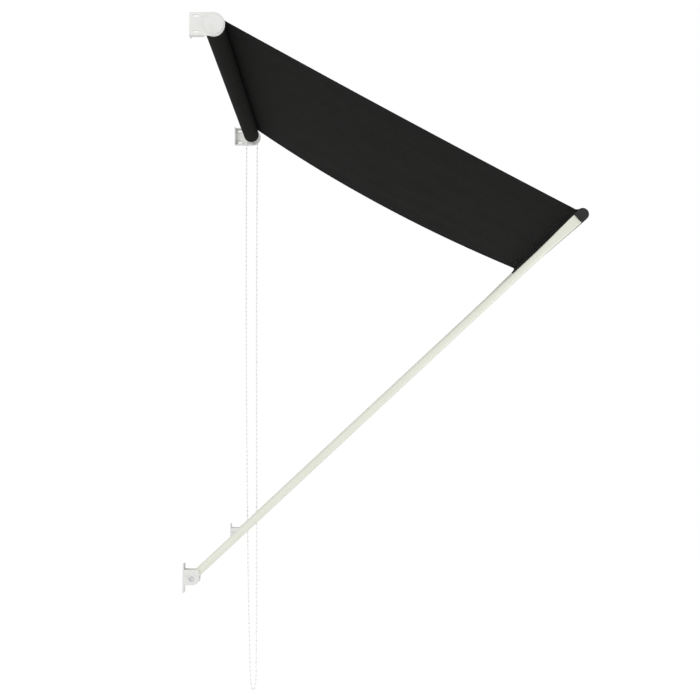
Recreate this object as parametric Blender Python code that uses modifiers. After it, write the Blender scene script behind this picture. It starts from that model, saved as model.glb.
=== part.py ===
"""Drop-arm canvas awning, drawn as one assembly.

A roller between two wall brackets lets the canvas down. Two tubular arms swing on wall brackets below it
and carry the front bar, which turns in the canvas hem. An endless bead chain turns the roller at the right
end. X runs along the roller, the wall is the plane y = 0 and the awning stands out from it towards -Y.
The origin is the middle of the left roller bracket's wall flange. Everything is in metres.
"""

import math

import bmesh
import bpy
from mathutils import Matrix, Vector

# Overall sizes
AWNING_WIDTH = 1.000  # over the outer faces of the two roller brackets
ROLLER_STANDOFF = 0.049  # roller axis from the wall
PIVOT_STANDOFF = 0.0172  # arm pivot from the wall
PIVOT_DROP = 1.132  # arm pivot below the roller axis
ARM_LENGTH = 1.084  # arm pivot to front bar axis
ARM_ANGLE = math.radians(46.9)  # arm from the vertical with the canvas let out
GAP = 0.0003  # between pieces that touch

# Roller brackets
SHEET_METAL = 0.0025
BRACKET_HEIGHT = 0.049
FLANGE_WIDTH = 0.022
LIP_DEPTH = 0.0125
LIP_REACH = 0.030
SLOT_LENGTH = 0.0125
SLOT_WIDTH = 0.0038
SLOT_STANDOFF = 0.0142
SLOT_RISE = 0.0166
SCREW_HOLE_RADIUS = 0.0019
FLANGE_HOLE_RISE = 0.0150

# Bracket caps
CAP_RADIUS = 0.0218
CAP_THICKNESS = 0.0022
CAP_RIM = 0.0016
CAP_RELIEF = 0.0008
CAP_RIBS = 4
CAP_RIB_WIDTH = 0.0016
CAP_RIB_PITCH = 0.0042
CAP_SLOT_WIDTH = 0.0026
CAP_SLOT_HEIGHT = 0.0085

# Roller
TUBE_RADIUS = 0.0190
TUBE_WALL = 0.0012
KEY_HALF_WIDTH = 0.0030
KEY_DEPTH = 0.0040
PLUG_FLANGE = 0.0080
PLUG_FLANGE_RADIUS = 0.0235
PLUG_LENGTH = 0.034
PIN_RADIUS = 0.0030
PIN_CLEARANCE = 0.0004
PIN_GRIP = 0.022

# Canvas
CANVAS_CLEARANCE = 0.0010  # from the canvas to the knuckles
CANVAS = 0.0006  # one layer
ROLL_TURNS = 3
NEAR_SAG = 0.0028
FAR_SAG = 0.0215
HEM_TIP_REACH = 0.0165  # front bar axis to the seam of the hem
HEM_TIP_RISE = 0.0047  # canvas plane above the front bar axis
HEM_LAYER = 0.0008

# Front bar
BAR_RADIUS = 0.0125
BAR_WALL = 0.0012
BAR_PLUG_FLANGE = 0.0020
BAR_PLUG_LENGTH = 0.018
BAR_PIN_GRIP = 0.013
KNUCKLE_RADIUS = 0.0128
KNUCKLE_THICKNESS = 0.012
KNUCKLE_REACH = 0.0134
KNUCKLE_ROUND = 0.0012
KNUCKLE_WEB = 0.0041

# Arms
LEFT_ARM_INSET = 0.012  # arm centre plane inside the outer face of its roller bracket
RIGHT_ARM_INSET = 0.024  # leaves room for the chain
ARM_RADIUS = 0.0080
ARM_WALL = 0.0012
ARM_FLAT_HALF_WIDTH = 0.0116
FLATTEN_LENGTH = 0.150
ARM_FOOT = 0.0075

# Arm brackets
FOOT_PLATE_HEIGHT = 0.058
FOOT_HOLE_RISE = 0.0222
CHEEK_TOP = 0.0176
CHEEK_BOTTOM = 0.0134
CHEEK_REACH = 0.0335
CHEEK_CORNER = 0.0130
CHEEK_TOP_CORNER = 0.0040
BOLT_RADIUS = 0.0030
BOLT_HEAD_RADIUS = 0.0047
BOLT_HEAD = 0.0030
BOLT_SOCKET_RADIUS = 0.0023
BOLT_SOCKET_DEPTH = 0.0018
BOLT_STICKOUT = 0.0020
NUT_RADIUS = 0.0058
NUT_THICKNESS = 0.0048
BUSH_WALL = 0.0009
BUSH_FLANGE = 0.0010
BUSH_FLANGE_RADIUS = 0.0066
BUSH_LENGTH = 0.0065

# Chain drive
BEAD_PITCH = 0.012
BEAD_COUNT_ON_WHEEL = 8
BEAD_RADIUS = 0.0025
CORD_RADIUS = 0.0011
WHEEL_THICKNESS = 0.0080
WHEEL_MARGIN = 0.0013  # flange edge above the middle of the beads
CROWN_LENGTH = 0.040
NECK_RADIUS = 0.0145  # between the crown and the wheel
HUB_DISC = 0.0030
HUB_DISC_RADIUS = 0.0204
SPINDLE_RADIUS = 0.0096
SPINDLE_LENGTH = 0.048
SPINDLE_BORE = 0.0060
SPRING_WIRE = 0.0006
SPRING_TURNS = 5
GUARD_WALL = 0.0018
GUARD_RADIUS = 0.0204
GUARD_LIP = 0.0015
GUARD_MOUTH = 0.0380
RUNNING_GAP = 0.0007

# Facets
ROUND = 36
FINE = 16
ARM_SIDES = 20
CANVAS_ALONG = 14
CANVAS_ACROSS = 6

# Chain route: distance from the vertical through the roller axis, towards the room, and height
CHAIN_ROUTE = (
    (-0.0150, -0.060),
    (-0.0140, -0.300),
    (-0.0110, -0.620),
    (-0.0060, -0.940),
    (0.0000, -1.240),
    (0.0058, -1.440),
    (0.0086, -1.525),
    (0.0115, -1.556),
    (0.0170, -1.567),
    (0.0222, -1.555),
    (0.0245, -1.524),
    (0.0247, -1.440),
    (0.0238, -1.240),
    (0.0212, -0.940),
    (0.0184, -0.620),
    (0.0161, -0.300),
    (0.0154, -0.060),
)
CHAIN_STEPS = 4  # points of the smooth curve for each route point

# Worked out from the sizes above
LEFT_FACE = -FLANGE_WIDTH / 2
RIGHT_FACE = LEFT_FACE + AWNING_WIDTH
LEFT_ARM_X = LEFT_FACE + LEFT_ARM_INSET
RIGHT_ARM_X = RIGHT_FACE - RIGHT_ARM_INSET
ROLLER = Vector((0, -ROLLER_STANDOFF, 0))
PIVOT = Vector((0, -PIVOT_STANDOFF, -PIVOT_DROP))
WHEEL_PITCH_RADIUS = BEAD_COUNT_ON_WHEEL * BEAD_PITCH / (2 * math.pi)
ROLL_RADIUS = TUBE_RADIUS + GAP + ROLL_TURNS * CANVAS
HALF_FLAT = (math.pi / 2 * ARM_RADIUS - ARM_FLAT_HALF_WIDTH) / (math.pi / 2 - 1)
TUBE_LEFT = LEFT_FACE + SHEET_METAL + 2 * RUNNING_GAP + PLUG_FLANGE + GAP
HUB_FACE = RIGHT_FACE - SHEET_METAL - GAP - HUB_DISC
WHEEL_RIGHT = HUB_FACE - RUNNING_GAP
WHEEL_LEFT = WHEEL_RIGHT - WHEEL_THICKNESS
GUARD_LEFT = WHEEL_LEFT - RUNNING_GAP - GUARD_LIP
TUBE_RIGHT = GUARD_LEFT - RUNNING_GAP
BAR_INSET = KNUCKLE_THICKNESS / 2 + RUNNING_GAP + BAR_PLUG_FLANGE + GAP
BAR_LEFT = LEFT_ARM_X + BAR_INSET
BAR_RIGHT = RIGHT_ARM_X - BAR_INSET
CANVAS_LEFT = LEFT_ARM_X + KNUCKLE_THICKNESS / 2 + CANVAS_CLEARANCE
CANVAS_RIGHT = RIGHT_ARM_X - KNUCKLE_THICKNESS / 2 - CANVAS_CLEARANCE
ALONG_X = (math.pi / 2, 0, math.pi / 2)  # local x, y, z become world Y, Z, X


def start_scene():
    """Empty the file and add one collection for the awning and one for its cutters."""
    for obj in list(bpy.data.objects):
        bpy.data.objects.remove(obj, do_unlink=True)
    made = {}
    for name in ("awning", "cutters"):
        made[name] = bpy.data.collections.new(name)
        bpy.context.scene.collection.children.link(made[name])
    return made


COLLECTIONS = start_scene()


def finish(name, colour, roughness, metallic=0.0):
    """A plain Principled material."""
    made = bpy.data.materials.new(name)
    made.use_nodes = True
    shader = made.node_tree.nodes["Principled BSDF"]
    shader.inputs["Base Color"].default_value = (*colour, 1)
    shader.inputs["Roughness"].default_value = roughness
    shader.inputs["Metallic"].default_value = metallic
    return made


WHITE_PAINT = finish("white_painted_steel", (0.83, 0.83, 0.81), 0.45)
CREAM_PAINT = finish("cream_painted_steel", (0.77, 0.77, 0.68), 0.40)
WHITE_PLASTIC = finish("white_moulded_plastic", (0.83, 0.83, 0.82), 0.50)
BLACK_PLASTIC = finish("black_moulded_plastic", (0.035, 0.035, 0.035), 0.45)
DARK_CANVAS = finish("anthracite_canvas", (0.016, 0.016, 0.014), 0.90)
ALUMINIUM = finish("mill_aluminium", (0.60, 0.60, 0.60), 0.35, 1.0)
ZINC = finish("zinc_plated_steel", (0.55, 0.55, 0.56), 0.35, 1.0)
CHAIN_PLASTIC = finish("white_bead_chain", (0.80, 0.80, 0.78), 0.40)


def place(obj, material, parent=None, location=(0, 0, 0), rotation=(0, 0, 0), group="awning"):
    """Put an object in its collection, on its parent, with its material."""
    COLLECTIONS[group].objects.link(obj)
    obj.parent = parent
    obj.location = location
    obj.rotation_euler = rotation
    if material:
        obj.data.materials.append(material)
    return obj


def empty(name, location, rotation=(0, 0, 0), parent=None):
    """An axis that pieces are built on."""
    obj = bpy.data.objects.new(name, None)
    obj.empty_display_size = 0.05
    return place(obj, None, parent, location, rotation)


def smooth(mesh, angle=40):
    """Round sides smooth, with sharp edges kept."""
    mesh.shade_smooth()
    mesh.set_sharp_from_angle(angle=math.radians(angle))


def circle(radius, centre=(0, 0), count=ROUND):
    """Points round a circle."""
    angles = [2 * math.pi * i / count for i in range(count)]
    return [(centre[0] + radius * math.cos(a), centre[1] + radius * math.sin(a)) for a in angles]


def arc(centre, radius, start, end, count):
    """Points along an arc from one angle to another, both in degrees."""
    angles = [math.radians(start + (end - start) * i / count) for i in range(count + 1)]
    return [(centre[0] + radius * math.cos(a), centre[1] + radius * math.sin(a)) for a in angles]


def outline_solid(name, loops, start, end, material, parent=None, group="awning", origin=(0, 0)):
    """A mesh from flat outlines in world Y and Z, extruded along X from start to end."""
    curve = bpy.data.curves.new(name, "CURVE")
    curve.dimensions = "2D"
    curve.fill_mode = "BOTH"
    curve.extrude = (end - start) / 2
    for points in loops:
        spline = curve.splines.new("POLY")
        spline.points.add(len(points) - 1)
        for slot, point in zip(spline.points, points):
            slot.co = (*point, 0, 1)
        spline.use_cyclic_u = True
    location = ((start + end) / 2, *origin)
    drawn = place(bpy.data.objects.new(name, curve), None, parent, location, ALONG_X, group)
    return as_mesh(drawn, material, group)


def as_mesh(drawn, material, group="awning"):
    """Replace a curve object by its welded mesh, in the same place."""
    name, parent = drawn.name, drawn.parent
    basis = drawn.matrix_basis.copy()
    graph = bpy.context.evaluated_depsgraph_get()
    mesh = bpy.data.meshes.new_from_object(drawn.evaluated_get(graph))
    bm = bmesh.new()
    bm.from_mesh(mesh)
    bmesh.ops.remove_doubles(bm, verts=bm.verts, dist=0.00001)
    bm.to_mesh(mesh)
    bm.free()
    mesh.materials.clear()
    bpy.data.objects.remove(drawn)
    smooth(mesh)
    made = place(bpy.data.objects.new(name, mesh), material, parent, group=group)
    made.matrix_basis = basis
    return made


def turned(name, profile, material, parent=None, centre=(0, 0), steps=ROUND, closed=False, group="awning"):
    """A profile of (x, radius) turned about a line along X through centre, its outer side from +X to -X."""
    mesh = bpy.data.meshes.new(name)
    edges = [(i, i + 1) for i in range(len(profile) - 1)]
    if closed:
        edges.append((len(profile) - 1, 0))
    mesh.from_pydata([(radius, 0, x) for x, radius in profile], edges, [])
    obj = place(bpy.data.objects.new(name, mesh), material, parent, (0, *centre), ALONG_X, group)
    screw = obj.modifiers.new("turn", "SCREW")
    screw.steps = steps
    screw.render_steps = steps
    screw.use_merge_vertices = True
    screw.merge_threshold = 0.00001
    screw.use_smooth_shade = False
    return obj


def rod(name, start, end, radius, material, parent=None, centre=(0, 0), steps=FINE, group="awning"):
    """A plain round rod along X."""
    profile = [(end, 0), (end, radius), (start, radius), (start, 0)]
    return turned(name, profile, material, parent, centre, steps, group=group)


def ring_profile(start, end, inner, outer):
    """The closed section of a plain ring."""
    return [(end, inner), (end, outer), (start, outer), (start, inner)]


def block(name, low, high, material=None, parent=None, group="awning"):
    """A box between two corners."""
    mesh = bpy.data.meshes.new(name)
    bm = bmesh.new()
    bmesh.ops.create_cube(bm, size=1)
    size = Vector(high) - Vector(low)
    bmesh.ops.scale(bm, vec=size, verts=bm.verts)
    bmesh.ops.translate(bm, vec=(Vector(high) + Vector(low)) / 2, verts=bm.verts)
    bm.to_mesh(mesh)
    bm.free()
    return place(bpy.data.objects.new(name, mesh), material, parent, group=group)


def combine(obj, other, operation):
    """Join another object to this one, or cut it out, with an exact Boolean."""
    other.hide_render = True
    other.display_type = "WIRE"
    step = obj.modifiers.new(other.name, "BOOLEAN")
    step.operation = operation
    step.solver = "EXACT"
    step.object = other
    return obj


def join(obj, other):
    """Add another shape to this one."""
    return combine(obj, other, "UNION")


def cut(obj, other):
    """Cut another shape out of this one."""
    return combine(obj, other, "DIFFERENCE")


def slotted(length, width, centre):
    """A round-ended slot along Y."""
    straight = (length - width) / 2
    right = arc((centre[0] + straight, centre[1]), width / 2, -90, 90, 5)
    left = arc((centre[0] - straight, centre[1]), width / 2, 90, 270, 5)
    return right + left


def d_outline():
    """The side of a roller bracket: square at the wall and round about the roller axis."""
    half = BRACKET_HEIGHT / 2
    nose = arc((-ROLLER_STANDOFF, 0), half, 90, 270, ROUND // 2)
    return [(0, -half), (0, half)] + nose


def roller_bracket(side, face, inward):
    """A pressed bracket: D-shaped side, wall flange and two stiffening lips, all folded inwards."""
    name = f"{side}_upper_bracket"
    inner = face + inward * SHEET_METAL
    half = BRACKET_HEIGHT / 2
    slots = [slotted(SLOT_LENGTH, SLOT_WIDTH, (-SLOT_STANDOFF, rise * SLOT_RISE)) for rise in (1, -1)]
    pin_hole = circle(PIN_RADIUS + PIN_CLEARANCE, (-ROLLER_STANDOFF, 0), FINE)
    body = outline_solid(name, [d_outline(), pin_hole, *slots], min(face, inner), max(face, inner), WHITE_PAINT)
    flange_end = face + inward * FLANGE_WIDTH
    lip_end = face + inward * LIP_DEPTH
    overlap = face + inward * SHEET_METAL / 2
    folds = {
        "flange": (flange_end, -SHEET_METAL, -half, half),
        "upper_lip": (lip_end, -LIP_REACH, half - SHEET_METAL, half),
        "lower_lip": (lip_end, -LIP_REACH, -half, SHEET_METAL - half),
    }
    for label, (reach, front, low, high) in folds.items():
        start, end = sorted((overlap, reach))
        fold = block(f"{name}_{label}", (start, front, low), (end, 0, high), group="cutters")
        join(body, fold)
    middle = face + inward * FLANGE_WIDTH / 2
    for label, rise in (("upper", 1), ("lower", -1)):
        hole = rod(f"{name}_{label}_screw_hole", -SHEET_METAL, SHEET_METAL, SCREW_HOLE_RADIUS, None, steps=12,
                   group="cutters")
        hole.location = (middle, -SHEET_METAL / 2, rise * FLANGE_HOLE_RISE)
        hole.rotation_euler = (math.pi / 2, 0, 0)
        cut(body, hole)
    return body


def bracket_cap(side, face, outward):
    """A moulded round cap on the outside of a roller bracket, with a rim, ribs and a slot in relief."""
    name = f"{side}_bracket_cap"
    back = face + outward * GAP
    floor = back + outward * (CAP_THICKNESS - CAP_RELIEF)
    front = back + outward * CAP_THICKNESS
    rim = CAP_RADIUS - CAP_RIM
    profile = [(floor, 0), (floor, rim), (front, rim), (front, CAP_RADIUS), (back, CAP_RADIUS), (back, 0)]
    if outward < 0:
        profile.reverse()
    cap = turned(name, profile, WHITE_PLASTIC, centre=(-ROLLER_STANDOFF, 0))
    root = floor - outward * CAP_RELIEF / 2
    start, end = sorted((root, front))
    for i in range(CAP_RIBS):
        across = (i - (CAP_RIBS - 1) / 2) * CAP_RIB_PITCH
        low = -math.sqrt((rim + CAP_RIM / 2) ** 2 - (abs(across) + CAP_RIB_WIDTH / 2) ** 2)
        sides = [-ROLLER_STANDOFF + across - CAP_RIB_WIDTH / 2, -ROLLER_STANDOFF + across + CAP_RIB_WIDTH / 2]
        rib = block(f"{name}_rib_{i}", (start, sides[0], low), (end, sides[1], -CAP_RIB_PITCH), group="cutters")
        join(cap, rib)
    sides = [-ROLLER_STANDOFF - CAP_SLOT_WIDTH / 2, -ROLLER_STANDOFF + CAP_SLOT_WIDTH / 2]
    start, end = sorted((root, front))
    slot = block(f"{name}_slot", (start, sides[0], CAP_RIB_PITCH),
                 (end, sides[1], CAP_RIB_PITCH + CAP_SLOT_HEIGHT), group="cutters")
    return cut(cap, slot)


def keyed_circle(radius, half_width, floor):
    """A circle about the roller axis with a square key groove in its wall side, down to the floor radius."""
    mouth = math.degrees(math.asin(half_width / radius))
    rim = arc((0, 0), radius, mouth, 360 - mouth, ROUND)
    return rim + [(floor, -half_width), (floor, half_width)]


def tube_loops():
    """The roller tube's section: a wall of even thickness with its canvas groove folded inwards."""
    floor = TUBE_RADIUS - KEY_DEPTH
    outer = keyed_circle(TUBE_RADIUS, KEY_HALF_WIDTH, floor)
    inner = keyed_circle(TUBE_RADIUS - TUBE_WALL, KEY_HALF_WIDTH + TUBE_WALL, floor - TUBE_WALL)
    return [outer, inner]


def plug_loop():
    """The outline of what fills the roller tube."""
    floor = TUBE_RADIUS - KEY_DEPTH - TUBE_WALL - GAP
    return keyed_circle(TUBE_RADIUS - TUBE_WALL - GAP, KEY_HALF_WIDTH + TUBE_WALL + GAP, floor)


def roll_loops(turn):
    """The wound canvas: a round inside and an outer edge that winds in by one layer a turn."""
    outer = []
    count = ROUND + 4
    for i in range(count):
        share = i / (count - 1)
        radius = ROLL_RADIUS - CANVAS * share
        angle = turn + 2 * math.pi * share * (1 - 1 / (ROUND * 8))
        outer.append((radius * math.cos(angle), radius * math.sin(angle)))
    return [outer, circle(TUBE_RADIUS + GAP)]


def roller(axis, canvas_angle):
    """Tube, wound canvas, idle end plug and its pin, all on the roller axis."""
    outline_solid("roller_tube", tube_loops(), TUBE_LEFT, TUBE_RIGHT, ALUMINIUM, axis)
    turn = math.pi / 2 + canvas_angle
    outline_solid("canvas_roll", roll_loops(turn), CANVAS_LEFT, CANVAS_RIGHT, DARK_CANVAS, axis)
    flange_left = TUBE_LEFT - GAP - PLUG_FLANGE
    plug = outline_solid("idler_plug", [plug_loop()], flange_left + PLUG_FLANGE / 2, flange_left + PLUG_LENGTH,
                         WHITE_PLASTIC, axis)
    join(plug, rod("idler_plug_flange", flange_left, flange_left + PLUG_FLANGE, PLUG_FLANGE_RADIUS, None, axis,
                   steps=ROUND, group="cutters"))
    bore_end = flange_left + PIN_GRIP
    cut(plug, rod("idler_plug_bore", flange_left - 2 * GAP, bore_end, PIN_RADIUS + GAP, None, axis,
                  group="cutters"))
    rod("idler_pin", LEFT_FACE + GAP, bore_end - GAP, PIN_RADIUS, ZINC, axis)


def chain_wheel(axis):
    """The wheel that the beads turn, in one piece with the crown that drives the tube."""
    rim = WHEEL_PITCH_RADIUS + WHEEL_MARGIN
    middle = (WHEEL_LEFT + WHEEL_RIGHT) / 2
    crown_start = TUBE_RIGHT - CROWN_LENGTH
    wheel = rod("chain_wheel", WHEEL_LEFT, WHEEL_RIGHT, rim, BLACK_PLASTIC, axis, steps=ROUND)
    crown_end = TUBE_RIGHT + RUNNING_GAP / 2
    crown = outline_solid("chain_wheel_crown", [plug_loop()], crown_start, crown_end, None, axis,
                          group="cutters")
    neck = rod("chain_wheel_neck", TUBE_RIGHT + GAP / 2, middle, NECK_RADIUS, None, axis, steps=ROUND,
               group="cutters")
    join(wheel, neck)
    join(wheel, crown)
    slit = CORD_RADIUS + 2 * GAP
    root = WHEEL_PITCH_RADIUS - CORD_RADIUS - 2 * GAP
    groove = ring_profile(middle - slit, middle + slit, root, 2 * rim)
    cut(wheel, turned("chain_wheel_slit", groove, None, axis, closed=True, group="cutters"))
    for i in range(BEAD_COUNT_ON_WHEEL):
        angle = 2 * math.pi * i / BEAD_COUNT_ON_WHEEL
        pocket = bead_cutter(f"chain_wheel_pocket_{i}", middle, angle, axis)
        cut(wheel, pocket)
    bore = SPINDLE_RADIUS + 2 * SPRING_WIRE + 3 * GAP
    cut(wheel, rod("chain_wheel_bore", crown_start - GAP, WHEEL_RIGHT + GAP, bore, None, axis, steps=ROUND,
                   group="cutters"))


def bead_cutter(name, x, angle, axis):
    """A ball at the bead circle, a little larger than a bead."""
    mesh = bpy.data.meshes.new(name)
    bm = bmesh.new()
    bmesh.ops.create_uvsphere(bm, u_segments=10, v_segments=6, radius=BEAD_RADIUS + GAP)
    bmesh.ops.rotate(bm, verts=bm.verts, matrix=Matrix.Rotation(math.pi / 2, 3, "Y"))
    offset = (x, WHEEL_PITCH_RADIUS * math.cos(angle), WHEEL_PITCH_RADIUS * math.sin(angle))
    bmesh.ops.translate(bm, vec=offset, verts=bm.verts)
    bm.to_mesh(mesh)
    bm.free()
    return place(bpy.data.objects.new(name, mesh), None, axis, group="cutters")


def drive_unit(axis):
    """What stays still at the chain end: the hub disc with its spindle, the clutch spring and the guard."""
    spindle_end = HUB_FACE - SPINDLE_LENGTH
    profile = [
        (RIGHT_FACE - SHEET_METAL - GAP, SPINDLE_BORE),
        (RIGHT_FACE - SHEET_METAL - GAP, HUB_DISC_RADIUS),
        (HUB_FACE, HUB_DISC_RADIUS),
        (HUB_FACE, SPINDLE_RADIUS),
        (spindle_end, SPINDLE_RADIUS),
        (spindle_end, SPINDLE_BORE),
    ]
    hub = turned("drive_hub", profile, WHITE_PLASTIC, axis, closed=True)
    peg = [
        (RIGHT_FACE - GAP, 0),
        (RIGHT_FACE - GAP, PIN_RADIUS),
        (RIGHT_FACE - SHEET_METAL - 2 * GAP, PIN_RADIUS),
        (RIGHT_FACE - SHEET_METAL - 2 * GAP, SPINDLE_BORE + GAP),
        (HUB_FACE, SPINDLE_BORE + GAP),
        (HUB_FACE, 0),
    ]
    join(hub, turned("drive_hub_peg", peg, None, axis, group="cutters"))
    spring_end = WHEEL_LEFT - RUNNING_GAP
    clutch_spring(spring_end - SPRING_TURNS * 4 * SPRING_WIRE, 4 * SPRING_WIRE, axis)
    guard_right = HUB_FACE - GAP
    lip_bore = NECK_RADIUS + RUNNING_GAP
    section = [
        (guard_right, GUARD_RADIUS - GUARD_WALL),
        (guard_right, GUARD_RADIUS),
        (GUARD_LEFT, GUARD_RADIUS),
        (GUARD_LEFT, lip_bore),
        (GUARD_LEFT + GUARD_LIP, lip_bore),
        (GUARD_LEFT + GUARD_LIP, GUARD_RADIUS - GUARD_WALL),
    ]
    guard = turned("chain_guard", section, WHITE_PLASTIC, axis, closed=True)
    half = GUARD_MOUTH / 2
    mouth = block("chain_guard_mouth", (GUARD_LEFT + GUARD_LIP, -half, -2 * GUARD_RADIUS),
                  (guard_right + GAP, half, -WHEEL_PITCH_RADIUS / 4), parent=axis, group="cutters")
    cut(guard, mouth)


def clutch_spring(start, pitch, axis):
    """The wrap spring on the spindle, which holds the roller where the chain leaves it."""
    curve = bpy.data.curves.new("clutch_spring", "CURVE")
    curve.dimensions = "3D"
    curve.bevel_depth = SPRING_WIRE
    curve.bevel_resolution = 1
    curve.use_fill_caps = True
    spline = curve.splines.new("POLY")
    count = 12
    spline.points.add(SPRING_TURNS * count)
    radius = (SPINDLE_RADIUS + SPRING_WIRE + GAP) / math.cos(math.pi / count)
    for i, slot in enumerate(spline.points):
        angle = 2 * math.pi * i / count
        slot.co = (start + pitch * i / count, radius * math.cos(angle), radius * math.sin(angle), 1)
    place(bpy.data.objects.new("clutch_spring", curve), ZINC, axis)


def catmull_rom(points, steps):
    """A smooth curve through every point."""
    ends = [2 * points[0] - points[1], *points, 2 * points[-1] - points[-2]]
    found = []
    for i in range(1, len(ends) - 2):
        a, b, c, d = ends[i - 1:i + 3]
        for k in range(steps):
            t = k / steps
            found.append(
                0.5 * (2 * b + (c - a) * t + (2 * a - 5 * b + 4 * c - d) * t * t
                       + (3 * b - a - 3 * c + d) * t ** 3)
            )
    return [*found, points[-1]]


def chain_points():
    """The chain's route about the roller axis: over the wheel and down one side, then up the other."""
    x = (WHEEL_LEFT + WHEEL_RIGHT) / 2
    radius = WHEEL_PITCH_RADIUS
    down = [Vector((x, -a, b)) for a, b in CHAIN_ROUTE]
    first = Vector((x, radius, 0))
    last = Vector((x, -radius, 0))
    hanging = catmull_rom([first, *down, last], CHAIN_STEPS)
    start = [Vector((x, a, b)) for a, b in arc((0, 0), radius, 84, 9, 4)]
    end = [Vector((x, a, b)) for a, b in arc((0, 0), radius, 171, 96, 4)]
    return [*start, *hanging, *end]


def bead_chain(axis):
    """The endless chain, as its plain cord."""
    curve = bpy.data.curves.new("bead_chain", "CURVE")
    curve.dimensions = "3D"
    curve.bevel_depth = CORD_RADIUS
    curve.bevel_resolution = 2
    curve.use_fill_caps = True
    points = chain_points()
    spline = curve.splines.new("POLY")
    spline.points.add(len(points) - 1)
    for slot, point in zip(spline.points, points):
        slot.co = (*point, 1)
    place(bpy.data.objects.new("bead_chain", curve), CHAIN_PLASTIC, axis)


def arm_section(distance):
    """Half width and half thickness of an arm at a distance from its pivot: a flattened tube keeps its girth."""
    start = ARM_LENGTH - KNUCKLE_REACH - FLATTEN_LENGTH
    share = min(max((distance - start) / FLATTEN_LENGTH, 0), 1)
    eased = share * share * share * (4 - 3 * share) if share < 1 else 1
    half_width = ARM_RADIUS + (ARM_FLAT_HALF_WIDTH - ARM_RADIUS) * eased
    half_thickness = (math.pi / 2 * ARM_RADIUS - half_width) / (math.pi / 2 - 1)
    past_axis = distance - ARM_LENGTH
    if past_axis > 0:
        half_width = min(half_width, math.sqrt(ARM_FLAT_HALF_WIDTH ** 2 - past_axis ** 2))
    return half_width, half_thickness


def arm_stations():
    """Distances from the pivot at which an arm's section is drawn."""
    start = ARM_LENGTH - KNUCKLE_REACH - FLATTEN_LENGTH
    tip = KNUCKLE_RADIUS - KNUCKLE_WEB - 2 * GAP
    flare = [start + FLATTEN_LENGTH * i / 12 for i in range(13)]
    rounded = [ARM_LENGTH + tip * share for share in (0, 0.4, 0.7, 0.9, 1)]
    return [-ARM_FOOT, *flare, *rounded]


def arm(side, axis):
    """A steel tube, open at its foot and flattened where the knuckle takes it."""
    bm = bmesh.new()
    count = ARM_SIDES
    rings = []
    for distance in arm_stations():
        half_width, half_thickness = arm_section(distance)
        ring = []
        for i in range(count):
            angle = 2 * math.pi * (i + 0.5) / count
            across = half_thickness * math.sin(angle)
            across += math.copysign(half_width - half_thickness, across)
            ring.append(bm.verts.new((half_thickness * math.cos(angle), across, distance)))
        rings.append(ring)
    for low, high in zip(rings, rings[1:]):
        for i in range(count):
            bm.faces.new((low[i], low[(i + 1) % count], high[(i + 1) % count], high[i]))
    bm.faces.new(reversed(rings[0]))
    bm.faces.new(rings[-1])
    mesh = bpy.data.meshes.new(f"{side}_arm")
    bm.to_mesh(mesh)
    bm.free()
    smooth(mesh)
    body = place(bpy.data.objects.new(f"{side}_arm", mesh), CREAM_PAINT, axis)
    bore_top = ARM_LENGTH - KNUCKLE_REACH - FLATTEN_LENGTH
    bore = rod(f"{side}_arm_bore", -2 * ARM_FOOT, bore_top, ARM_RADIUS - ARM_WALL, None, axis, steps=24,
               group="cutters")
    bore.rotation_euler = (0, 0, 0)
    cut(body, bore)
    bush_hole = BOLT_RADIUS + GAP + BUSH_WALL + GAP
    cut(body, rod(f"{side}_arm_pivot_hole", -2 * ARM_RADIUS, 2 * ARM_RADIUS, bush_hole, None, axis,
                  group="cutters"))
    cut(body, rod(f"{side}_arm_pin_hole", -ARM_RADIUS, ARM_RADIUS, PIN_RADIUS + GAP, None, axis,
                  (0, ARM_LENGTH), group="cutters"))
    return body


def arm_bushes(side, axis):
    """Two moulded top-hat bushes, pressed into the arm from either side."""
    inner = BOLT_RADIUS + GAP
    outer = inner + BUSH_WALL
    seat = ARM_RADIUS + GAP
    for label, way in (("left", -1), ("right", 1)):
        profile = [
            (way * (seat + BUSH_FLANGE), inner),
            (way * (seat + BUSH_FLANGE), BUSH_FLANGE_RADIUS),
            (way * seat, BUSH_FLANGE_RADIUS),
            (way * seat, outer),
            (way * (seat - BUSH_LENGTH), outer),
            (way * (seat - BUSH_LENGTH), inner),
        ]
        if way < 0:
            profile.reverse()
        turned(f"{side}_arm_{label}_bush", profile, BLACK_PLASTIC, axis, closed=True, steps=FINE)


def knuckle(side, axis, inward):
    """The moulded fork on the end of an arm, round about the front bar's axis."""
    head = arc((0, ARM_LENGTH), KNUCKLE_RADIUS, 0, 180, 14)
    cut_end = ARM_LENGTH - KNUCKLE_REACH
    half = KNUCKLE_THICKNESS / 2
    outline = [*head, (-KNUCKLE_RADIUS, cut_end), (KNUCKLE_RADIUS, cut_end)]
    body = outline_solid(f"{side}_knuckle", [outline], -half, half, BLACK_PLASTIC, axis)
    rounded = body.modifiers.new("rounded_edges", "BEVEL")
    rounded.width = KNUCKLE_ROUND
    rounded.segments = 2
    rounded.limit_method = "ANGLE"
    rounded.angle_limit = math.radians(50)
    slot = HALF_FLAT + GAP
    floor = ARM_LENGTH + KNUCKLE_RADIUS - KNUCKLE_WEB
    cut(body, block(f"{side}_knuckle_slot", (-slot, -2 * KNUCKLE_RADIUS, cut_end - KNUCKLE_REACH),
                    (slot, 2 * KNUCKLE_RADIUS, floor), parent=axis, group="cutters"))
    blind = half - SHEET_METAL
    start, end = sorted((-inward * blind, inward * 2 * half))
    cut(body, rod(f"{side}_knuckle_bore", start, end, PIN_RADIUS + GAP, None, axis, (0, ARM_LENGTH),
                  group="cutters"))
    return body


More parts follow.
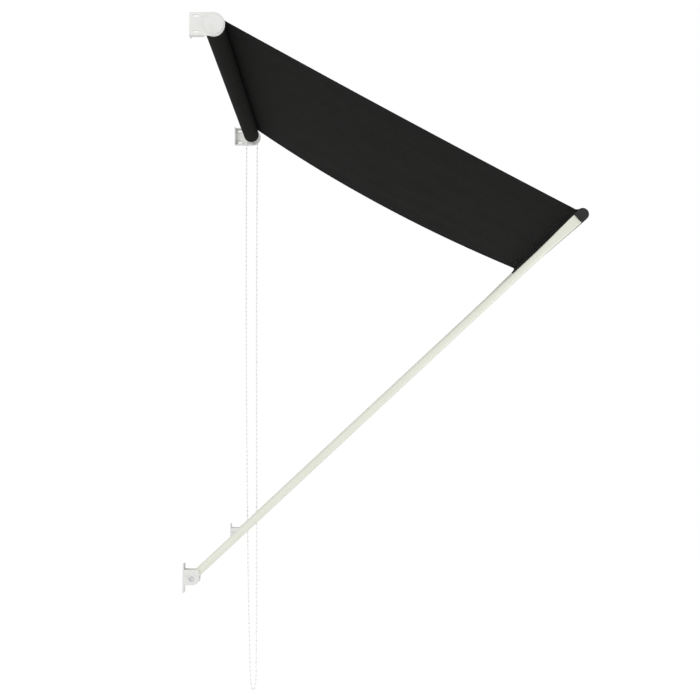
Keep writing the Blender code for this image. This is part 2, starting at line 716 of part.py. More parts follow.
def bar_pin(side, axis, inward):
    """The steel pin that the front bar turns on, held in the knuckle."""
    half = KNUCKLE_THICKNESS / 2
    start, end = sorted((-inward * (half - SHEET_METAL - GAP), inward * (half + BAR_PIN_GRIP)))
    rod(f"{side}_bar_pin", start, end, PIN_RADIUS, ZINC, axis, (0, ARM_LENGTH))


def bar_plug(side, axis, tube_end, inward):
    """A moulded plug in the end of the front bar, with a bore for the pin."""
    flange_outer = tube_end - inward * (GAP + BAR_PLUG_FLANGE)
    flange_inner = tube_end - inward * GAP
    body_end = tube_end + inward * BAR_PLUG_LENGTH
    body_radius = BAR_RADIUS - BAR_WALL - GAP
    bore = PIN_RADIUS + GAP
    profile = [
        (flange_outer, bore),
        (flange_outer, BAR_RADIUS - GAP),
        (flange_inner, BAR_RADIUS - GAP),
        (flange_inner, body_radius),
        (body_end, body_radius),
        (body_end, bore),
    ]
    if inward > 0:
        profile.reverse()
    turned(f"{side}_bar_plug", profile, BLACK_PLASTIC, axis, closed=True, steps=24)


def hem_loops():
    """The hem's section: cloth round the bar, drawn together in a seam that points up the canvas."""
    inner = BAR_RADIUS + GAP
    outer = inner + HEM_LAYER
    lean = -math.degrees(math.asin(HEM_TIP_RISE / HEM_TIP_REACH))
    tip_angle = 90 - lean
    half_tip = HEM_LAYER / HEM_TIP_REACH
    spread = math.degrees(math.acos(outer / HEM_TIP_REACH))
    around = arc((0, 0), outer, tip_angle + spread, tip_angle + 360 - spread, ROUND)
    ends = [math.radians(tip_angle) - half_tip, math.radians(tip_angle) + half_tip]
    tip = [(HEM_TIP_REACH * math.cos(a), HEM_TIP_REACH * math.sin(a)) for a in ends]
    return [around + tip, circle(inner)]


def front_bar(axis):
    """The front bar's tube, its two plugs and the canvas hem round it."""
    outline_solid("front_bar", [circle(BAR_RADIUS), circle(BAR_RADIUS - BAR_WALL)], BAR_LEFT, BAR_RIGHT,
                  CREAM_PAINT, axis)
    bar_plug("left", axis, BAR_LEFT, 1)
    bar_plug("right", axis, BAR_RIGHT, -1)
    outline_solid("canvas_hem", hem_loops(), CANVAS_LEFT, CANVAS_RIGHT, DARK_CANVAS, axis)


def canvas_sheet(axis, length):
    """The canvas between roller and hem: one sheet that hangs a little deeper at the chain end."""
    mesh = bpy.data.meshes.new("canvas_sheet")
    bm = bmesh.new()
    bmesh.ops.create_grid(bm, x_segments=CANVAS_ACROSS, y_segments=CANVAS_ALONG, size=0.5)
    height = ROLL_RADIUS + GAP + CANVAS / 2
    for vert in bm.verts:
        along = vert.co.y + 0.5
        across = vert.co.x + 0.5
        sag = (NEAR_SAG + (FAR_SAG - NEAR_SAG) * across) * 4 * along * (1 - along)
        x = CANVAS_LEFT + across * (CANVAS_RIGHT - CANVAS_LEFT)
        vert.co = (x, height - sag, along * length)
    bm.to_mesh(mesh)
    bm.free()
    mesh.shade_smooth()
    sheet = place(bpy.data.objects.new("canvas_sheet", mesh), DARK_CANVAS, axis)
    layer = sheet.modifiers.new("cloth_thickness", "SOLIDIFY")
    layer.thickness = CANVAS
    layer.offset = 0
    return sheet


def cheek_outline():
    """The side of an arm bracket about its pivot."""
    front = PIVOT_STANDOFF - CHEEK_REACH
    back = PIVOT_STANDOFF - SHEET_METAL / 2
    low = arc((front + CHEEK_CORNER, CHEEK_CORNER - CHEEK_BOTTOM), CHEEK_CORNER, 180, 270, 8)
    high = arc((front + CHEEK_TOP_CORNER, CHEEK_TOP - CHEEK_TOP_CORNER), CHEEK_TOP_CORNER, 90, 180, 4)
    return [(back, CHEEK_TOP), *high, *low, (back, -CHEEK_BOTTOM)]


def arm_bracket(side, x):
    """A U-shaped bracket: a tall wall plate with two cheeks folded out of it."""
    name = f"{side}_arm_bracket"
    inner = ARM_RADIUS + 2 * GAP + BUSH_FLANGE
    outer = inner + SHEET_METAL
    half = FOOT_PLATE_HEIGHT / 2
    plate = block(name, (x - outer, -SHEET_METAL, PIVOT.z - half), (x + outer, 0, PIVOT.z + half), WHITE_PAINT)
    hole = circle(BOLT_RADIUS + GAP, count=FINE)
    for label, start in (("left", -outer), ("right", inner)):
        cheek = outline_solid(f"{name}_{label}_cheek", [cheek_outline(), hole], x + start,
                              x + start + SHEET_METAL, None, group="cutters", origin=(PIVOT.y, PIVOT.z))
        join(plate, cheek)
    for label, rise in (("upper", 1), ("lower", -1)):
        screw_hole = rod(f"{name}_{label}_screw_hole", -SHEET_METAL, SHEET_METAL, SCREW_HOLE_RADIUS, None,
                         steps=12, group="cutters")
        screw_hole.location = (x, -SHEET_METAL / 2, PIVOT.z + rise * FOOT_HOLE_RISE)
        screw_hole.rotation_euler = (math.pi / 2, 0, 0)
        cut(plate, screw_hole)


def pivot_bolt(side, x, outward):
    """The bolt an arm turns on, with a socket in its head, and its nut on the other side."""
    cheek = ARM_RADIUS + 2 * GAP + BUSH_FLANGE + SHEET_METAL
    seat = cheek + GAP
    top = seat + BOLT_HEAD
    end = -(seat + NUT_THICKNESS + BOLT_STICKOUT)
    edge = BOLT_HEAD / 3
    profile = [
        (top, 0),
        (top, BOLT_HEAD_RADIUS - edge),
        (top - edge, BOLT_HEAD_RADIUS),
        (seat, BOLT_HEAD_RADIUS),
        (seat, BOLT_RADIUS),
        (end, BOLT_RADIUS),
        (end, 0),
    ]
    profile = [(x + outward * along, radius) for along, radius in profile]
    if outward < 0:
        profile.reverse()
    bolt = turned(f"{side}_pivot_bolt", profile, ZINC, centre=(PIVOT.y, PIVOT.z), steps=24)
    start, stop = sorted((x + outward * (top - BOLT_SOCKET_DEPTH), x + outward * (top + BOLT_HEAD)))
    cut(bolt, outline_solid(f"{side}_pivot_bolt_socket", [circle(BOLT_SOCKET_RADIUS, count=6)], start, stop, None,
                            group="cutters", origin=(PIVOT.y, PIVOT.z)))
    start, stop = sorted((x - outward * seat, x - outward * (seat + NUT_THICKNESS)))
    loops = [circle(NUT_RADIUS, count=6), circle(BOLT_RADIUS + GAP, count=FINE)]
    outline_solid(f"{side}_pivot_nut", loops, start, stop, ZINC, origin=(PIVOT.y, PIVOT.z))


def let_out():
    """Where the front bar is with the canvas let out: its centre and the canvas's slope below the level."""
    bar = PIVOT + Vector((0, -math.sin(ARM_ANGLE), math.cos(ARM_ANGLE))) * ARM_LENGTH
    reach = bar - ROLLER
    height = ROLL_RADIUS + GAP + CANVAS / 2
    slope = math.atan2(-reach.z, -reach.y) + math.asin((height - HEM_TIP_RISE) / reach.length)
    along = math.sqrt(reach.length ** 2 - (height - HEM_TIP_RISE) ** 2)
    tip = math.sqrt(HEM_TIP_REACH ** 2 - HEM_TIP_RISE ** 2)
    return bar, slope, along - tip - GAP


def build():
    """Make every piece of the awning."""
    bar, slope, canvas_length = let_out()
    roller_axis = empty("roller_axis", ROLLER)
    canvas_axis = empty("canvas_axis", ROLLER, (math.pi / 2 + slope, 0, 0))
    roller_bracket("left", LEFT_FACE, 1)
    roller_bracket("right", RIGHT_FACE, -1)
    bracket_cap("left", LEFT_FACE, -1)
    bracket_cap("right", RIGHT_FACE, 1)
    roller(roller_axis, -slope)
    chain_wheel(roller_axis)
    drive_unit(roller_axis)
    bead_chain(roller_axis)
    canvas_sheet(canvas_axis, canvas_length)
    for side, x, inward in (("left", LEFT_ARM_X, 1), ("right", RIGHT_ARM_X, -1)):
        arm_axis = empty(f"{side}_arm_axis", (x, PIVOT.y, PIVOT.z), (ARM_ANGLE, 0, 0))
        arm(side, arm_axis)
        arm_bushes(side, arm_axis)
        knuckle(side, arm_axis, inward)
        bar_pin(side, arm_axis, inward)
        arm_bracket(side, x)
        pivot_bolt(side, x, -inward)
    bar_axis = empty("front_bar_axis", bar, (slope - math.pi / 2, 0, 0))
    front_bar(bar_axis)


build()
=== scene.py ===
"""Drop-arm canvas awning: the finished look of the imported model.

Each class is one sub-assembly of the awning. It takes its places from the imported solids, builds its meshes
in metres in the same frame, and dresses them. X runs along the roller to the chain end, the wall is y = 0,
the awning stands out towards -Y, and Z is up.
"""

from __future__ import annotations

import logging
import math
from collections.abc import Callable, Iterable, Mapping, Sequence
from dataclasses import dataclass
from enum import Enum
from functools import cache, cached_property

import bmesh
import bpy
from mathutils import Matrix, Vector


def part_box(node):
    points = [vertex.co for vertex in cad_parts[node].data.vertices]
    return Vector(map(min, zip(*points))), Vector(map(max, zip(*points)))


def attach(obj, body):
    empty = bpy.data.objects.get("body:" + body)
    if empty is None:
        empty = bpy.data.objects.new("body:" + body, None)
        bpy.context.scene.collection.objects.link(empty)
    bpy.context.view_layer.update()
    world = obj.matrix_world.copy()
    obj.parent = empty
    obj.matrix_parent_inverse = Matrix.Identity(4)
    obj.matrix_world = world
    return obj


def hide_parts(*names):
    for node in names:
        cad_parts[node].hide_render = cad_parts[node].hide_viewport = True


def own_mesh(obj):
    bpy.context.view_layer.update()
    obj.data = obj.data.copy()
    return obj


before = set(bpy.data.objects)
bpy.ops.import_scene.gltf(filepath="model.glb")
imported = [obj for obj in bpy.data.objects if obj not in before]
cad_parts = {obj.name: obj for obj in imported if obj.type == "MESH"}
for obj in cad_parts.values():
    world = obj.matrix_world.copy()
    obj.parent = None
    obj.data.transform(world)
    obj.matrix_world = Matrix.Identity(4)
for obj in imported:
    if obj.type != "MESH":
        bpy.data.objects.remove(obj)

LOG = logging.getLogger("awning")
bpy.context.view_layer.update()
MM = 0.001
TINY = 0.01 * MM
ALONG_X = Vector((1, 0, 0))

# Blender's types under short names
Mesh, Vert, Edge = bmesh.types.BMesh, bmesh.types.BMVert, bmesh.types.BMEdge
Tree, Node, Socket = bpy.types.NodeTree, bpy.types.Node, bpy.types.NodeSocket
Material, Piece = bpy.types.Material, bpy.types.Object

# Folds that stay sharp, in degrees, for each kind of shape
PRESSED, TUBE, CLOTH, CORD, BALL = 35.0, 40.0, 50.0, 60.0, 80.0

# Where most values of a noise lie
MIDDLE = (0.3, 0.7)


# Nodes

def linear(colour: str) -> tuple[float, float, float, float]:
    """Turn a hex sRGB colour into linear RGBA.

    Args:
        colour: six hex digits after a hash sign.

    Returns:
        The linear red, green, blue and an alpha of 1.
    """
    channels = [int(colour[i:i + 2], 16) / 255 for i in (1, 3, 5)]
    turned = [c / 12.92 if c <= 0.04045 else ((c + 0.055) / 1.055) ** 2.4 for c in channels]
    return (*turned, 1.0)


def add_node(
    tree: Tree,
    kind: str,
    settings: Mapping[str, object] | None = None,
    inputs: Mapping[str | int, object] | None = None,
) -> Node:
    """Add a node with its settings and its inputs.

    Args:
        tree: the node tree that gets the node.
        kind: the node's type name.
        settings: properties of the node.
        inputs: a value or an output socket for each input.

    Returns:
        The new node.
    """
    node = tree.nodes.new(kind)
    for key, value in (settings or {}).items():
        setattr(node, key, value)
    for key, value in (inputs or {}).items():
        if isinstance(value, Socket):
            tree.links.new(value, node.inputs[key])
        else:
            node.inputs[key].default_value = value
    return node


def new_material(name: str) -> tuple[Material, Tree, Node]:
    """Make a material with only its output node.

    Args:
        name: the material's name.

    Returns:
        The material, its node tree and its output node.
    """
    material = bpy.data.materials.new(name)
    material.use_nodes = True
    tree = material.node_tree
    tree.nodes.clear()
    return material, tree, add_node(tree, "ShaderNodeOutputMaterial")


def add_noise(tree: Tree, place: Socket, scale: float, detail: float, **more: float) -> Socket:
    """Add a noise texture.

    Args:
        tree: the node tree.
        place: where the noise is read.
        scale: how fast it changes.
        detail: how many finer layers it has.
        more: other inputs of the node.

    Returns:
        The noise, from 0 to 1.
    """
    inputs = {"Vector": place, "Scale": scale, "Detail": detail, **more}
    return add_node(tree, "ShaderNodeTexNoise", inputs=inputs).outputs["Fac"]


def add_maths(tree: Tree, operation: str, *values: float | Socket) -> Socket:
    """Add one step of arithmetic on the given values."""
    return add_node(tree, "ShaderNodeMath", {"operation": operation}, dict(enumerate(values))).outputs[0]


def add_range(tree: Tree, value: Socket, taken: Sequence[float], given: Sequence[float]) -> Socket:
    """Map one range of values on to another.

    Args:
        tree: the node tree.
        value: what is mapped.
        taken: the range that it comes in.
        given: the range that it gets.

    Returns:
        The mapped value.
    """
    inputs = dict(enumerate((value, *taken, *given)))
    return add_node(tree, "ShaderNodeMapRange", inputs=inputs).outputs["Result"]


def add_mix(
    tree: Tree,
    share: float | Socket,
    first: str | Socket,
    second: str | Socket,
    kind: str = "RGBA",
) -> Socket:
    """Mix two colours or two numbers.

    Args:
        tree: the node tree.
        share: how much of the second one shows.
        first: a hex colour or an output socket.
        second: the same.
        kind: "RGBA" for colours, "FLOAT" for numbers.

    Returns:
        The mix.
    """
    low, result = (6, 2) if kind == "RGBA" else (2, 0)
    pair = [linear(value) if isinstance(value, str) else value for value in (first, second)]
    inputs = {0: share, low: pair[0], low + 1: pair[1]}
    return add_node(tree, "ShaderNodeMix", {"data_type": kind}, inputs).outputs[result]


def add_surface(
    tree: Tree,
    output: Node,
    relief: tuple[Socket, float, float],
    inputs: Mapping[str, object],
) -> None:
    """Close a material with a principled shader that has a fine relief.

    Args:
        tree: the material's node tree.
        output: its output node.
        relief: the relief's height, its strength and its depth in millimetres.
        inputs: the shader's other inputs.
    """
    height, strength, depth = relief
    heights = {"Height": height, "Strength": strength, "Distance": depth * MM}
    bump = add_node(tree, "ShaderNodeBump", inputs=heights)
    shader = add_node(
        tree, "ShaderNodeBsdfPrincipled", inputs={**inputs, "Normal": bump.outputs["Normal"]},
    )
    tree.links.new(shader.outputs[0], output.inputs["Surface"])


# Meshes

def finish_mesh(bm: Mesh, name: str, body: str, sharp_degrees: float = PRESSED) -> Piece:
    """Turn a bmesh into an object that rides on a body.

    Args:
        bm: the mesh, in the frame's place; it is freed.
        name: the piece's name.
        body: the body that carries it.
        sharp_degrees: edges that fold more than this stay sharp.

    Returns:
        The new object.
    """
    mesh = bpy.data.meshes.new(name)
    bm.to_mesh(mesh)
    bm.free()
    mesh.shade_smooth()
    mesh.set_sharp_from_angle(angle=math.radians(sharp_degrees))
    piece = bpy.data.objects.new(name, mesh)
    bpy.context.scene.collection.objects.link(piece)
    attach(piece, body)
    return piece


def outward(bm: Mesh) -> None:
    """Turn every face of a closed mesh outwards."""
    bmesh.ops.recalc_face_normals(bm, faces=bm.faces)


def cut_across(bm: Mesh, place: Sequence[float], way: Sequence[float]) -> None:
    """Add edges where a plane crosses a mesh.

    Args:
        bm: the mesh.
        place: a point of the plane.
        way: the plane's normal.
    """
    everything = [*bm.verts, *bm.edges, *bm.faces]
    bmesh.ops.bisect_plane(bm, geom=everything, dist=1e-7, plane_co=place, plane_no=way)


def edges_at(verts: Iterable[Vert]) -> list[Edge]:
    """List the edges that end at some points, each of them once."""
    return list({edge: None for vert in verts for edge in vert.link_edges})


def join_rings(bm: Mesh, rings: Sequence[list[Edge]]) -> None:
    """Join a row of rings into one closed tube.

    Args:
        bm: the mesh.
        rings: the edges of each ring, in order.
    """
    for low, high in zip(rings, rings[1:]):
        bmesh.ops.bridge_loops(bm, edges=[*low, *high])
    bmesh.ops.holes_fill(bm, edges=bm.edges, sides=0)
    outward(bm)


def repeat_in_row(bm: Mesh, first: Sequence[Vert], step: Sequence[float], count: int) -> list[Vert]:
    """Copy a small shape along a straight row, doubling the row each time.

    Args:
        bm: the mesh.
        first: the first shape's points.
        step: from one shape to the next.
        count: how many shapes the row gets.

    Returns:
        The points of all the shapes, one shape after the other.
    """
    size = len(first)
    row = list(first)
    while len(row) < size * count:
        done = len(row) // size
        taken = row[:size * min(done, count - done)]
        faces = list({face: None for vert in taken for face in vert.link_faces})
        made = bmesh.ops.duplicate(bm, geom=[*taken, *edges_at(taken), *faces])
        fresh = [made["vert_map"][vert] for vert in taken]
        bmesh.ops.translate(bm, vec=Vector(step) * done, verts=fresh)
        row += fresh
    return row


def merged_copy(node: str) -> Mesh:
    """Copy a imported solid's mesh with its triangles merged into whole faces.

    Args:
        node: the solid's name.

    Returns:
        The merged mesh.
    """
    bm = bmesh.new()
    bm.from_mesh(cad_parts[node].data)
    bmesh.ops.remove_doubles(bm, verts=bm.verts, dist=0.002 * MM)
    bmesh.ops.dissolve_limit(bm, angle_limit=math.radians(0.4), verts=bm.verts, edges=bm.edges)
    outward(bm)
    return bm


def true_circles(bm: Mesh, axis: Vector) -> None:
    """Split the chords of every circle about an axis along X, and move the new points out on to the circle.

    Args:
        bm: the mesh.
        axis: a point of the axis.
    """
    same_reach, least_reach = 0.02 * MM, 1.0 * MM
    least_turn, most_turn = math.radians(2), math.radians(46)
    reach = bm.verts.layers.float.new("reach")
    for vert in bm.verts:
        vert[reach] = math.hypot(vert.co.y - axis.y, vert.co.z - axis.z)
    chords = []
    for edge in bm.edges:
        a, b = edge.verts
        if abs(a[reach] - b[reach]) > same_reach or a[reach] < least_reach:
            continue
        first, last = (Vector((v.co.y - axis.y, v.co.z - axis.z)) for v in edge.verts)
        if least_turn < first.angle(last) < most_turn:
            chords.append(edge)
    made = bmesh.ops.subdivide_edges(bm, edges=chords, cuts=3, use_grid_fill=False)
    for vert in made["geom_inner"]:
        if isinstance(vert, Vert) and vert[reach] > 0:
            out = Vector((0, vert.co.y - axis.y, vert.co.z - axis.z))
            vert.co += out * (vert[reach] / out.length - 1)
    bm.verts.layers.float.remove(reach)


def round_edges(
    bm: Mesh,
    radius: float,
    segments: int = 2,
    chosen: Callable[[Edge], bool] | None = None,
    wear: float = 1.0,
) -> None:
    """Round a mesh's folded edges, and mark how worn the rounded faces are.

    Args:
        bm: the mesh.
        radius: how far the rounding reaches on each side.
        segments: faces across the rounding.
        chosen: which edges are rounded; all of them without it.
        wear: 1 for an edge that things rub on, 0 for one that keeps its paint.
    """
    worn = bm.faces.layers.float.get("worn") or bm.faces.layers.float.new("worn")
    limit = math.radians(32)
    folded = [edge for edge in bm.edges if edge.is_manifold and edge.calc_face_angle(0.0) > limit]
    edges = [edge for edge in folded if not chosen or chosen(edge)]
    if not edges:
        return
    made = bmesh.ops.bevel(
        bm, geom=edges, offset=radius, offset_type="OFFSET", segments=segments, profile=0.5,
        affect="EDGES", clamp_overlap=True, material=-1, loop_slide=True,
    )
    for face in made["faces"]:
        face[worn] = wear


def middle_of(node: str) -> Vector:
    """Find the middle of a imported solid's box."""
    low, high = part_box(node)
    return (Vector(low) + Vector(high)) / 2


def path_length(line: Sequence[Vector]) -> float:
    """Add up the steps between a line's points."""
    return sum((b - a).length for a, b in zip(line, line[1:]))


# Finishes

@dataclass(frozen=True)
class PowderCoat:
    """Baked polyester powder on steel: an even satin colour, a faint orange peel and thin, paler edges."""

    name: str
    colour: str
    shade: str
    edge: str
    roughness: float
    peel_mm: float = 1.1

    def build(self) -> Material:
        """Make the material.

        Returns:
            The powder coat.
        """
        material, tree, output = new_material(self.name)
        place = add_node(tree, "ShaderNodeTexCoord").outputs["Object"]
        clouds = add_noise(tree, place, scale=14.0, detail=3.0)
        rub = add_noise(tree, place, scale=420.0, detail=2.0)
        peel = add_noise(tree, place, scale=1 / (self.peel_mm * MM), detail=1.0, Roughness=0.4)
        worn = add_node(tree, "ShaderNodeAttribute", {"attribute_name": "worn"}).outputs["Fac"]
        share = add_maths(tree, "MULTIPLY", worn, add_range(tree, rub, (0.50, 0.66), (0.0, 0.4)))
        tone = add_mix(tree, clouds, self.colour, self.shade)
        gloss = add_range(tree, clouds, MIDDLE, (self.roughness - 0.04, self.roughness + 0.05))
        add_surface(tree, output, (peel, 0.22, 0.06), {
            "Base Color": add_mix(tree, share, tone, self.edge), "Roughness": gloss, "IOR": 1.5,
        })
        return material


@dataclass(frozen=True)
class MouldedPlastic:
    """Injection-moulded plastic: an even colour through the wall, and the fine grain of an eroded mould."""

    name: str
    colour: str
    shade: str
    roughness: float
    grain_mm: float = 0.5
    grain_depth: float = 0.18
    specular: float = 0.5

    def build(self) -> Material:
        """Make the material.

        Returns:
            The moulded plastic.
        """
        material, tree, output = new_material(self.name)
        place = add_node(tree, "ShaderNodeTexCoord").outputs["Object"]
        flow = add_noise(tree, place, scale=60.0, detail=3.0, Distortion=0.6)
        grain = add_node(
            tree, "ShaderNodeTexVoronoi", {"feature": "SMOOTH_F1"},
            {"Vector": place, "Scale": 1 / (self.grain_mm * MM), "Smoothness": 0.6},
        ).outputs["Distance"]
        gloss = add_range(tree, flow, MIDDLE, (self.roughness - 0.05, self.roughness + 0.06))
        add_surface(tree, output, (grain, self.grain_depth, 0.05), {
            "Base Color": add_mix(tree, flow, self.colour, self.shade), "Roughness": gloss, "IOR": 1.49,
            "Specular IOR Level": self.specular,
        })
        return material


@dataclass(frozen=True)
class WovenCanvas:
    """Plain-woven polyester: square crossings of spun yarn, thick and thin places along the yarns, no shine.

    The real yarns lie about 0.6 mm apart. They are drawn at thread_mm, so that the weave shows at all.
    """

    name: str
    colour: str
    pale: str
    thread_mm: float = 1.5

    def build(self) -> Material:
        """Make the material. The weave follows object X and the cloth's own "along" attribute.

        Returns:
            The canvas.
        """
        material, tree, output = new_material(self.name)
        place = add_node(tree, "ShaderNodeTexCoord").outputs["Object"]
        across = add_node(tree, "ShaderNodeSeparateXYZ", inputs={0: place}).outputs[0]
        along = add_node(tree, "ShaderNodeAttribute", {"attribute_name": "along"}).outputs["Fac"]
        pitch = self.thread_mm * MM
        inputs = {0: across, 1: along, 2: pitch / 2}
        flat = add_node(tree, "ShaderNodeCombineXYZ", inputs=inputs).outputs[0]
        waves = {"Vector": flat, "Scale": 2 * math.pi / (20 * pitch), "Phase Offset": -math.pi / 2}
        bands = {"wave_type": "BANDS", "wave_profile": "SIN"}
        warp, weft = (
            add_node(tree, "ShaderNodeTexWave", {**bands, "bands_direction": way}, waves).outputs["Fac"]
            for way in "XY"
        )
        squares = add_node(tree, "ShaderNodeTexChecker", inputs={"Vector": flat, "Scale": 1 / pitch})
        yarn = add_mix(tree, squares.outputs["Fac"], weft, warp, "FLOAT")
        height = add_mix(tree, 0.6, yarn, add_maths(tree, "MULTIPLY", warp, weft), "FLOAT")
        slubs = []
        for stretch in ((520.0, 16.0, 1.0), (16.0, 520.0, 1.0)):
            inputs = {"Vector": flat, "Scale": stretch}
            scaled = add_node(tree, "ShaderNodeMapping", {"vector_type": "POINT"}, inputs).outputs[0]
            slubs.append(add_noise(tree, scaled, scale=1.0, detail=1.0))
        spread = add_range(tree, add_maths(tree, "ADD", *slubs), (0.75, 1.25), (0.0, 0.6))
        clouds = add_noise(tree, flat, scale=9.0, detail=4.0)
        # Painted light and shade: the raised tops of the yarn crossings are painted paler and the hollows
        # between them darker; the slubs added to it are real thick and thin places in the yarn
        lit = add_maths(tree, "MULTIPLY_ADD", height, 0.35, spread)
        share = add_maths(tree, "ADD", lit, add_range(tree, clouds, MIDDLE, (0.0, 0.25)))
        add_surface(tree, output, (height, 0.45, 0.18), {
            "Base Color": add_mix(tree, share, self.colour, self.pale), "Roughness": 0.9, "IOR": 1.45,
            "Specular IOR Level": 0.08,
        })
        return material


@dataclass(frozen=True)
class PlatedMetal:
    """Bare or plated metal: its own reflection colour, with the fine lines or spangle of its making."""

    name: str
    colour: str
    shade: str
    roughness: float
    grain: tuple[float, float, float] = (1.0, 1.0, 1.0)
    grain_per_m: float = 900.0

    def build(self) -> Material:
        """Make the material.

        Returns:
            The metal.
        """
        material, tree, output = new_material(self.name)
        place = add_node(tree, "ShaderNodeTexCoord").outputs["Object"]
        inputs = {"Vector": place, "Scale": self.grain}
        drawn = add_node(tree, "ShaderNodeMapping", {"vector_type": "POINT"}, inputs).outputs[0]
        lines = add_noise(tree, drawn, scale=self.grain_per_m, detail=2.0)
        gloss = add_range(tree, lines, MIDDLE, (self.roughness - 0.06, self.roughness + 0.08))
        add_surface(tree, output, (lines, 0.15, 0.03), {
            "Base Color": add_mix(tree, lines, self.colour, self.shade), "Metallic": 1.0, "Roughness": gloss,
        })
        return material


# Each look under the slot it belongs to, and the thread that the canvas is sewn with
LOOKS: dict[str, PowderCoat | MouldedPlastic | WovenCanvas | PlatedMetal] = {
    # Satin white powder, cool and very even, a little grey where the coat is thin at an edge
    "white_paint": PowderCoat("white_powder_coat", "#ececea", "#e4e4e1", "#cfcfca", 0.45),
    # Satin cream powder, slightly green in the shade
    "cream_paint": PowderCoat("cream_powder_coat", "#eaebdf", "#e4e5d8", "#d2d2c6", 0.40),
    # White acetal mouldings with a dull fine grain
    "white_plastic": MouldedPlastic("white_moulded_acetal", "#ebebe9", "#e4e4e1", 0.48),
    # Carbon-black nylon mouldings, greyer than the canvas because their grain scatters light
    "black_plastic": MouldedPlastic("black_moulded_nylon", "#262626", "#1f1f1f", 0.5, 0.6, 0.3, 0.3),
    # Anthracite polyester canvas, almost black and without shine; the paler colour also carries painted
    # light on the weave's raised crossings
    "canvas": WovenCanvas("anthracite_woven_canvas", "#151514", "#222221"),
    # Black polyester sewing thread, a little shinier than the canvas
    "thread": MouldedPlastic("black_sewing_thread", "#1d1d1d", "#282828", 0.6, 0.4, specular=0.2),
    # Mill-finish drawn tube, with lines along X
    "aluminium": PlatedMetal("drawn_aluminium", "#d9dadb", "#c6c7c9", 0.34, (0.01, 1.0, 1.0), 2200.0),
    # Bright zinc plate with a soft spangle
    "zinc": PlatedMetal("bright_zinc_plate", "#dcddde", "#c3c5c8", 0.30),
    # Glossy white acetal beads
    "chain_plastic": MouldedPlastic("white_bead_acetal", "#fbfbf9", "#f6f6f3", 0.3, 0.8, 0.08),
}


@cache
def finish(look: str) -> Material:
    """Make a finish, once."""
    return LOOKS[look].build()


def dress(piece: Piece, slot: str, look: str = "") -> None:
    """Give a piece its material.

    Args:
        piece: the object to dress.
        slot: the name of its finish, unless look gives another.
        look: the finish, where it isn't the slot's own.
    """
    piece.data.materials.clear()
    piece.data.materials.append(finish(look or slot))


def stand_in(bm: Mesh, name: str, body: str, node: str, slot: str) -> None:
    """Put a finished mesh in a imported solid's place, with its flat faces shaded flat up to their rounding.

    Args:
        bm: the mesh; it is freed.
        name: the piece's name.
        body: the body that carries it.
        node: the solid's name.
        slot: the name of its finish.
    """
    piece = finish_mesh(bm, name, body)
    step = piece.modifiers.new("flat_faces_stay_flat", "WEIGHTED_NORMAL")
    step.keep_sharp = True
    step.weight = 80
    dress(piece, slot)
    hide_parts(node)


# The canvas's lines, shared by the sub-assemblies

@dataclass(frozen=True)
class CanvasPlane:
    """The plane that the let-out canvas lies in, from the roller to the seam of the hem."""

    roller: Vector
    bar: Vector
    left: float
    right: float
    height: float = 21.7 * MM  # middle of the cloth above the roller axis
    tip_reach: float = 16.5 * MM  # front bar axis to the seam
    tip_rise: float = 4.7 * MM  # cloth above the front bar axis
    near_sag: float = 2.8 * MM
    far_sag: float = 21.5 * MM

    @classmethod
    def read(cls) -> CanvasPlane:
        """Take the canvas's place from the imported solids.

        Returns:
            The canvas plane.
        """
        low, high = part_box("canvas_roll")
        roller, bar = (Vector((0, *middle_of(node)[1:])) for node in ("roller_tube", "front_bar"))
        return cls(roller, bar, low[0], high[0])

    @property
    def width(self) -> float:
        """The cloth's width."""
        return self.right - self.left

    @cached_property
    def reach(self) -> Vector:
        """From the roller axis to the front bar's."""
        return self.bar - self.roller

    @cached_property
    def drop(self) -> float:
        """How much nearer the cloth lies to the bar's axis than to the roller's."""
        return self.height - self.tip_rise

    @cached_property
    def slope(self) -> float:
        """The canvas's angle below the level, in radians."""
        reach = self.reach
        return math.atan2(-reach.z, -reach.y) + math.asin(self.drop / math.hypot(reach.y, reach.z))

    @cached_property
    def down(self) -> Vector:
        """The way from the roller to the bar, along the cloth."""
        return Vector((0, -math.cos(self.slope), -math.sin(self.slope)))

    @cached_property
    def up(self) -> Vector:
        """The way out of the cloth's upper face."""
        return Vector((0, -math.sin(self.slope), math.cos(self.slope)))

    @cached_property
    def seam_back(self) -> float:
        """How far the seam lies before the front bar axis, along the cloth."""
        return math.sqrt(self.tip_reach ** 2 - self.tip_rise ** 2)

    @cached_property
    def length(self) -> float:
        """The cloth's length from the roller to the seam."""
        whole = math.sqrt(self.reach.y ** 2 + self.reach.z ** 2 - self.drop ** 2)
        return whole - self.seam_back

    @cached_property
    def start(self) -> Vector:
        """Where the cloth leaves the roller, at x = 0."""
        return self.roller + self.up * self.height

    def sag(self, x: float, along: float) -> float:
        """How far the slack cloth hangs below its plane.

        Args:
            x: place along the roller.
            along: distance from the roller.

        Returns:
            The sag in metres.
        """
        across = min(max((x - self.left) / self.width, 0), 1)
        share = min(max(along / self.length, 0), 1)
        deep = self.near_sag + (self.far_sag - self.near_sag) * across
        return deep * 4 * share * (1 - share)

    def point(self, x: float, along: float, rise: float = 0.0) -> Vector:
        """Place a point on the slack cloth.

        Args:
            x: place along the roller.
            along: distance from the roller.
            rise: distance above the cloth.

        Returns:
            The point in the frame.
        """
        place = self.start + self.down * along + self.up * (rise - self.sag(x, along))
        place.x = x
        return place


# The photograph's view

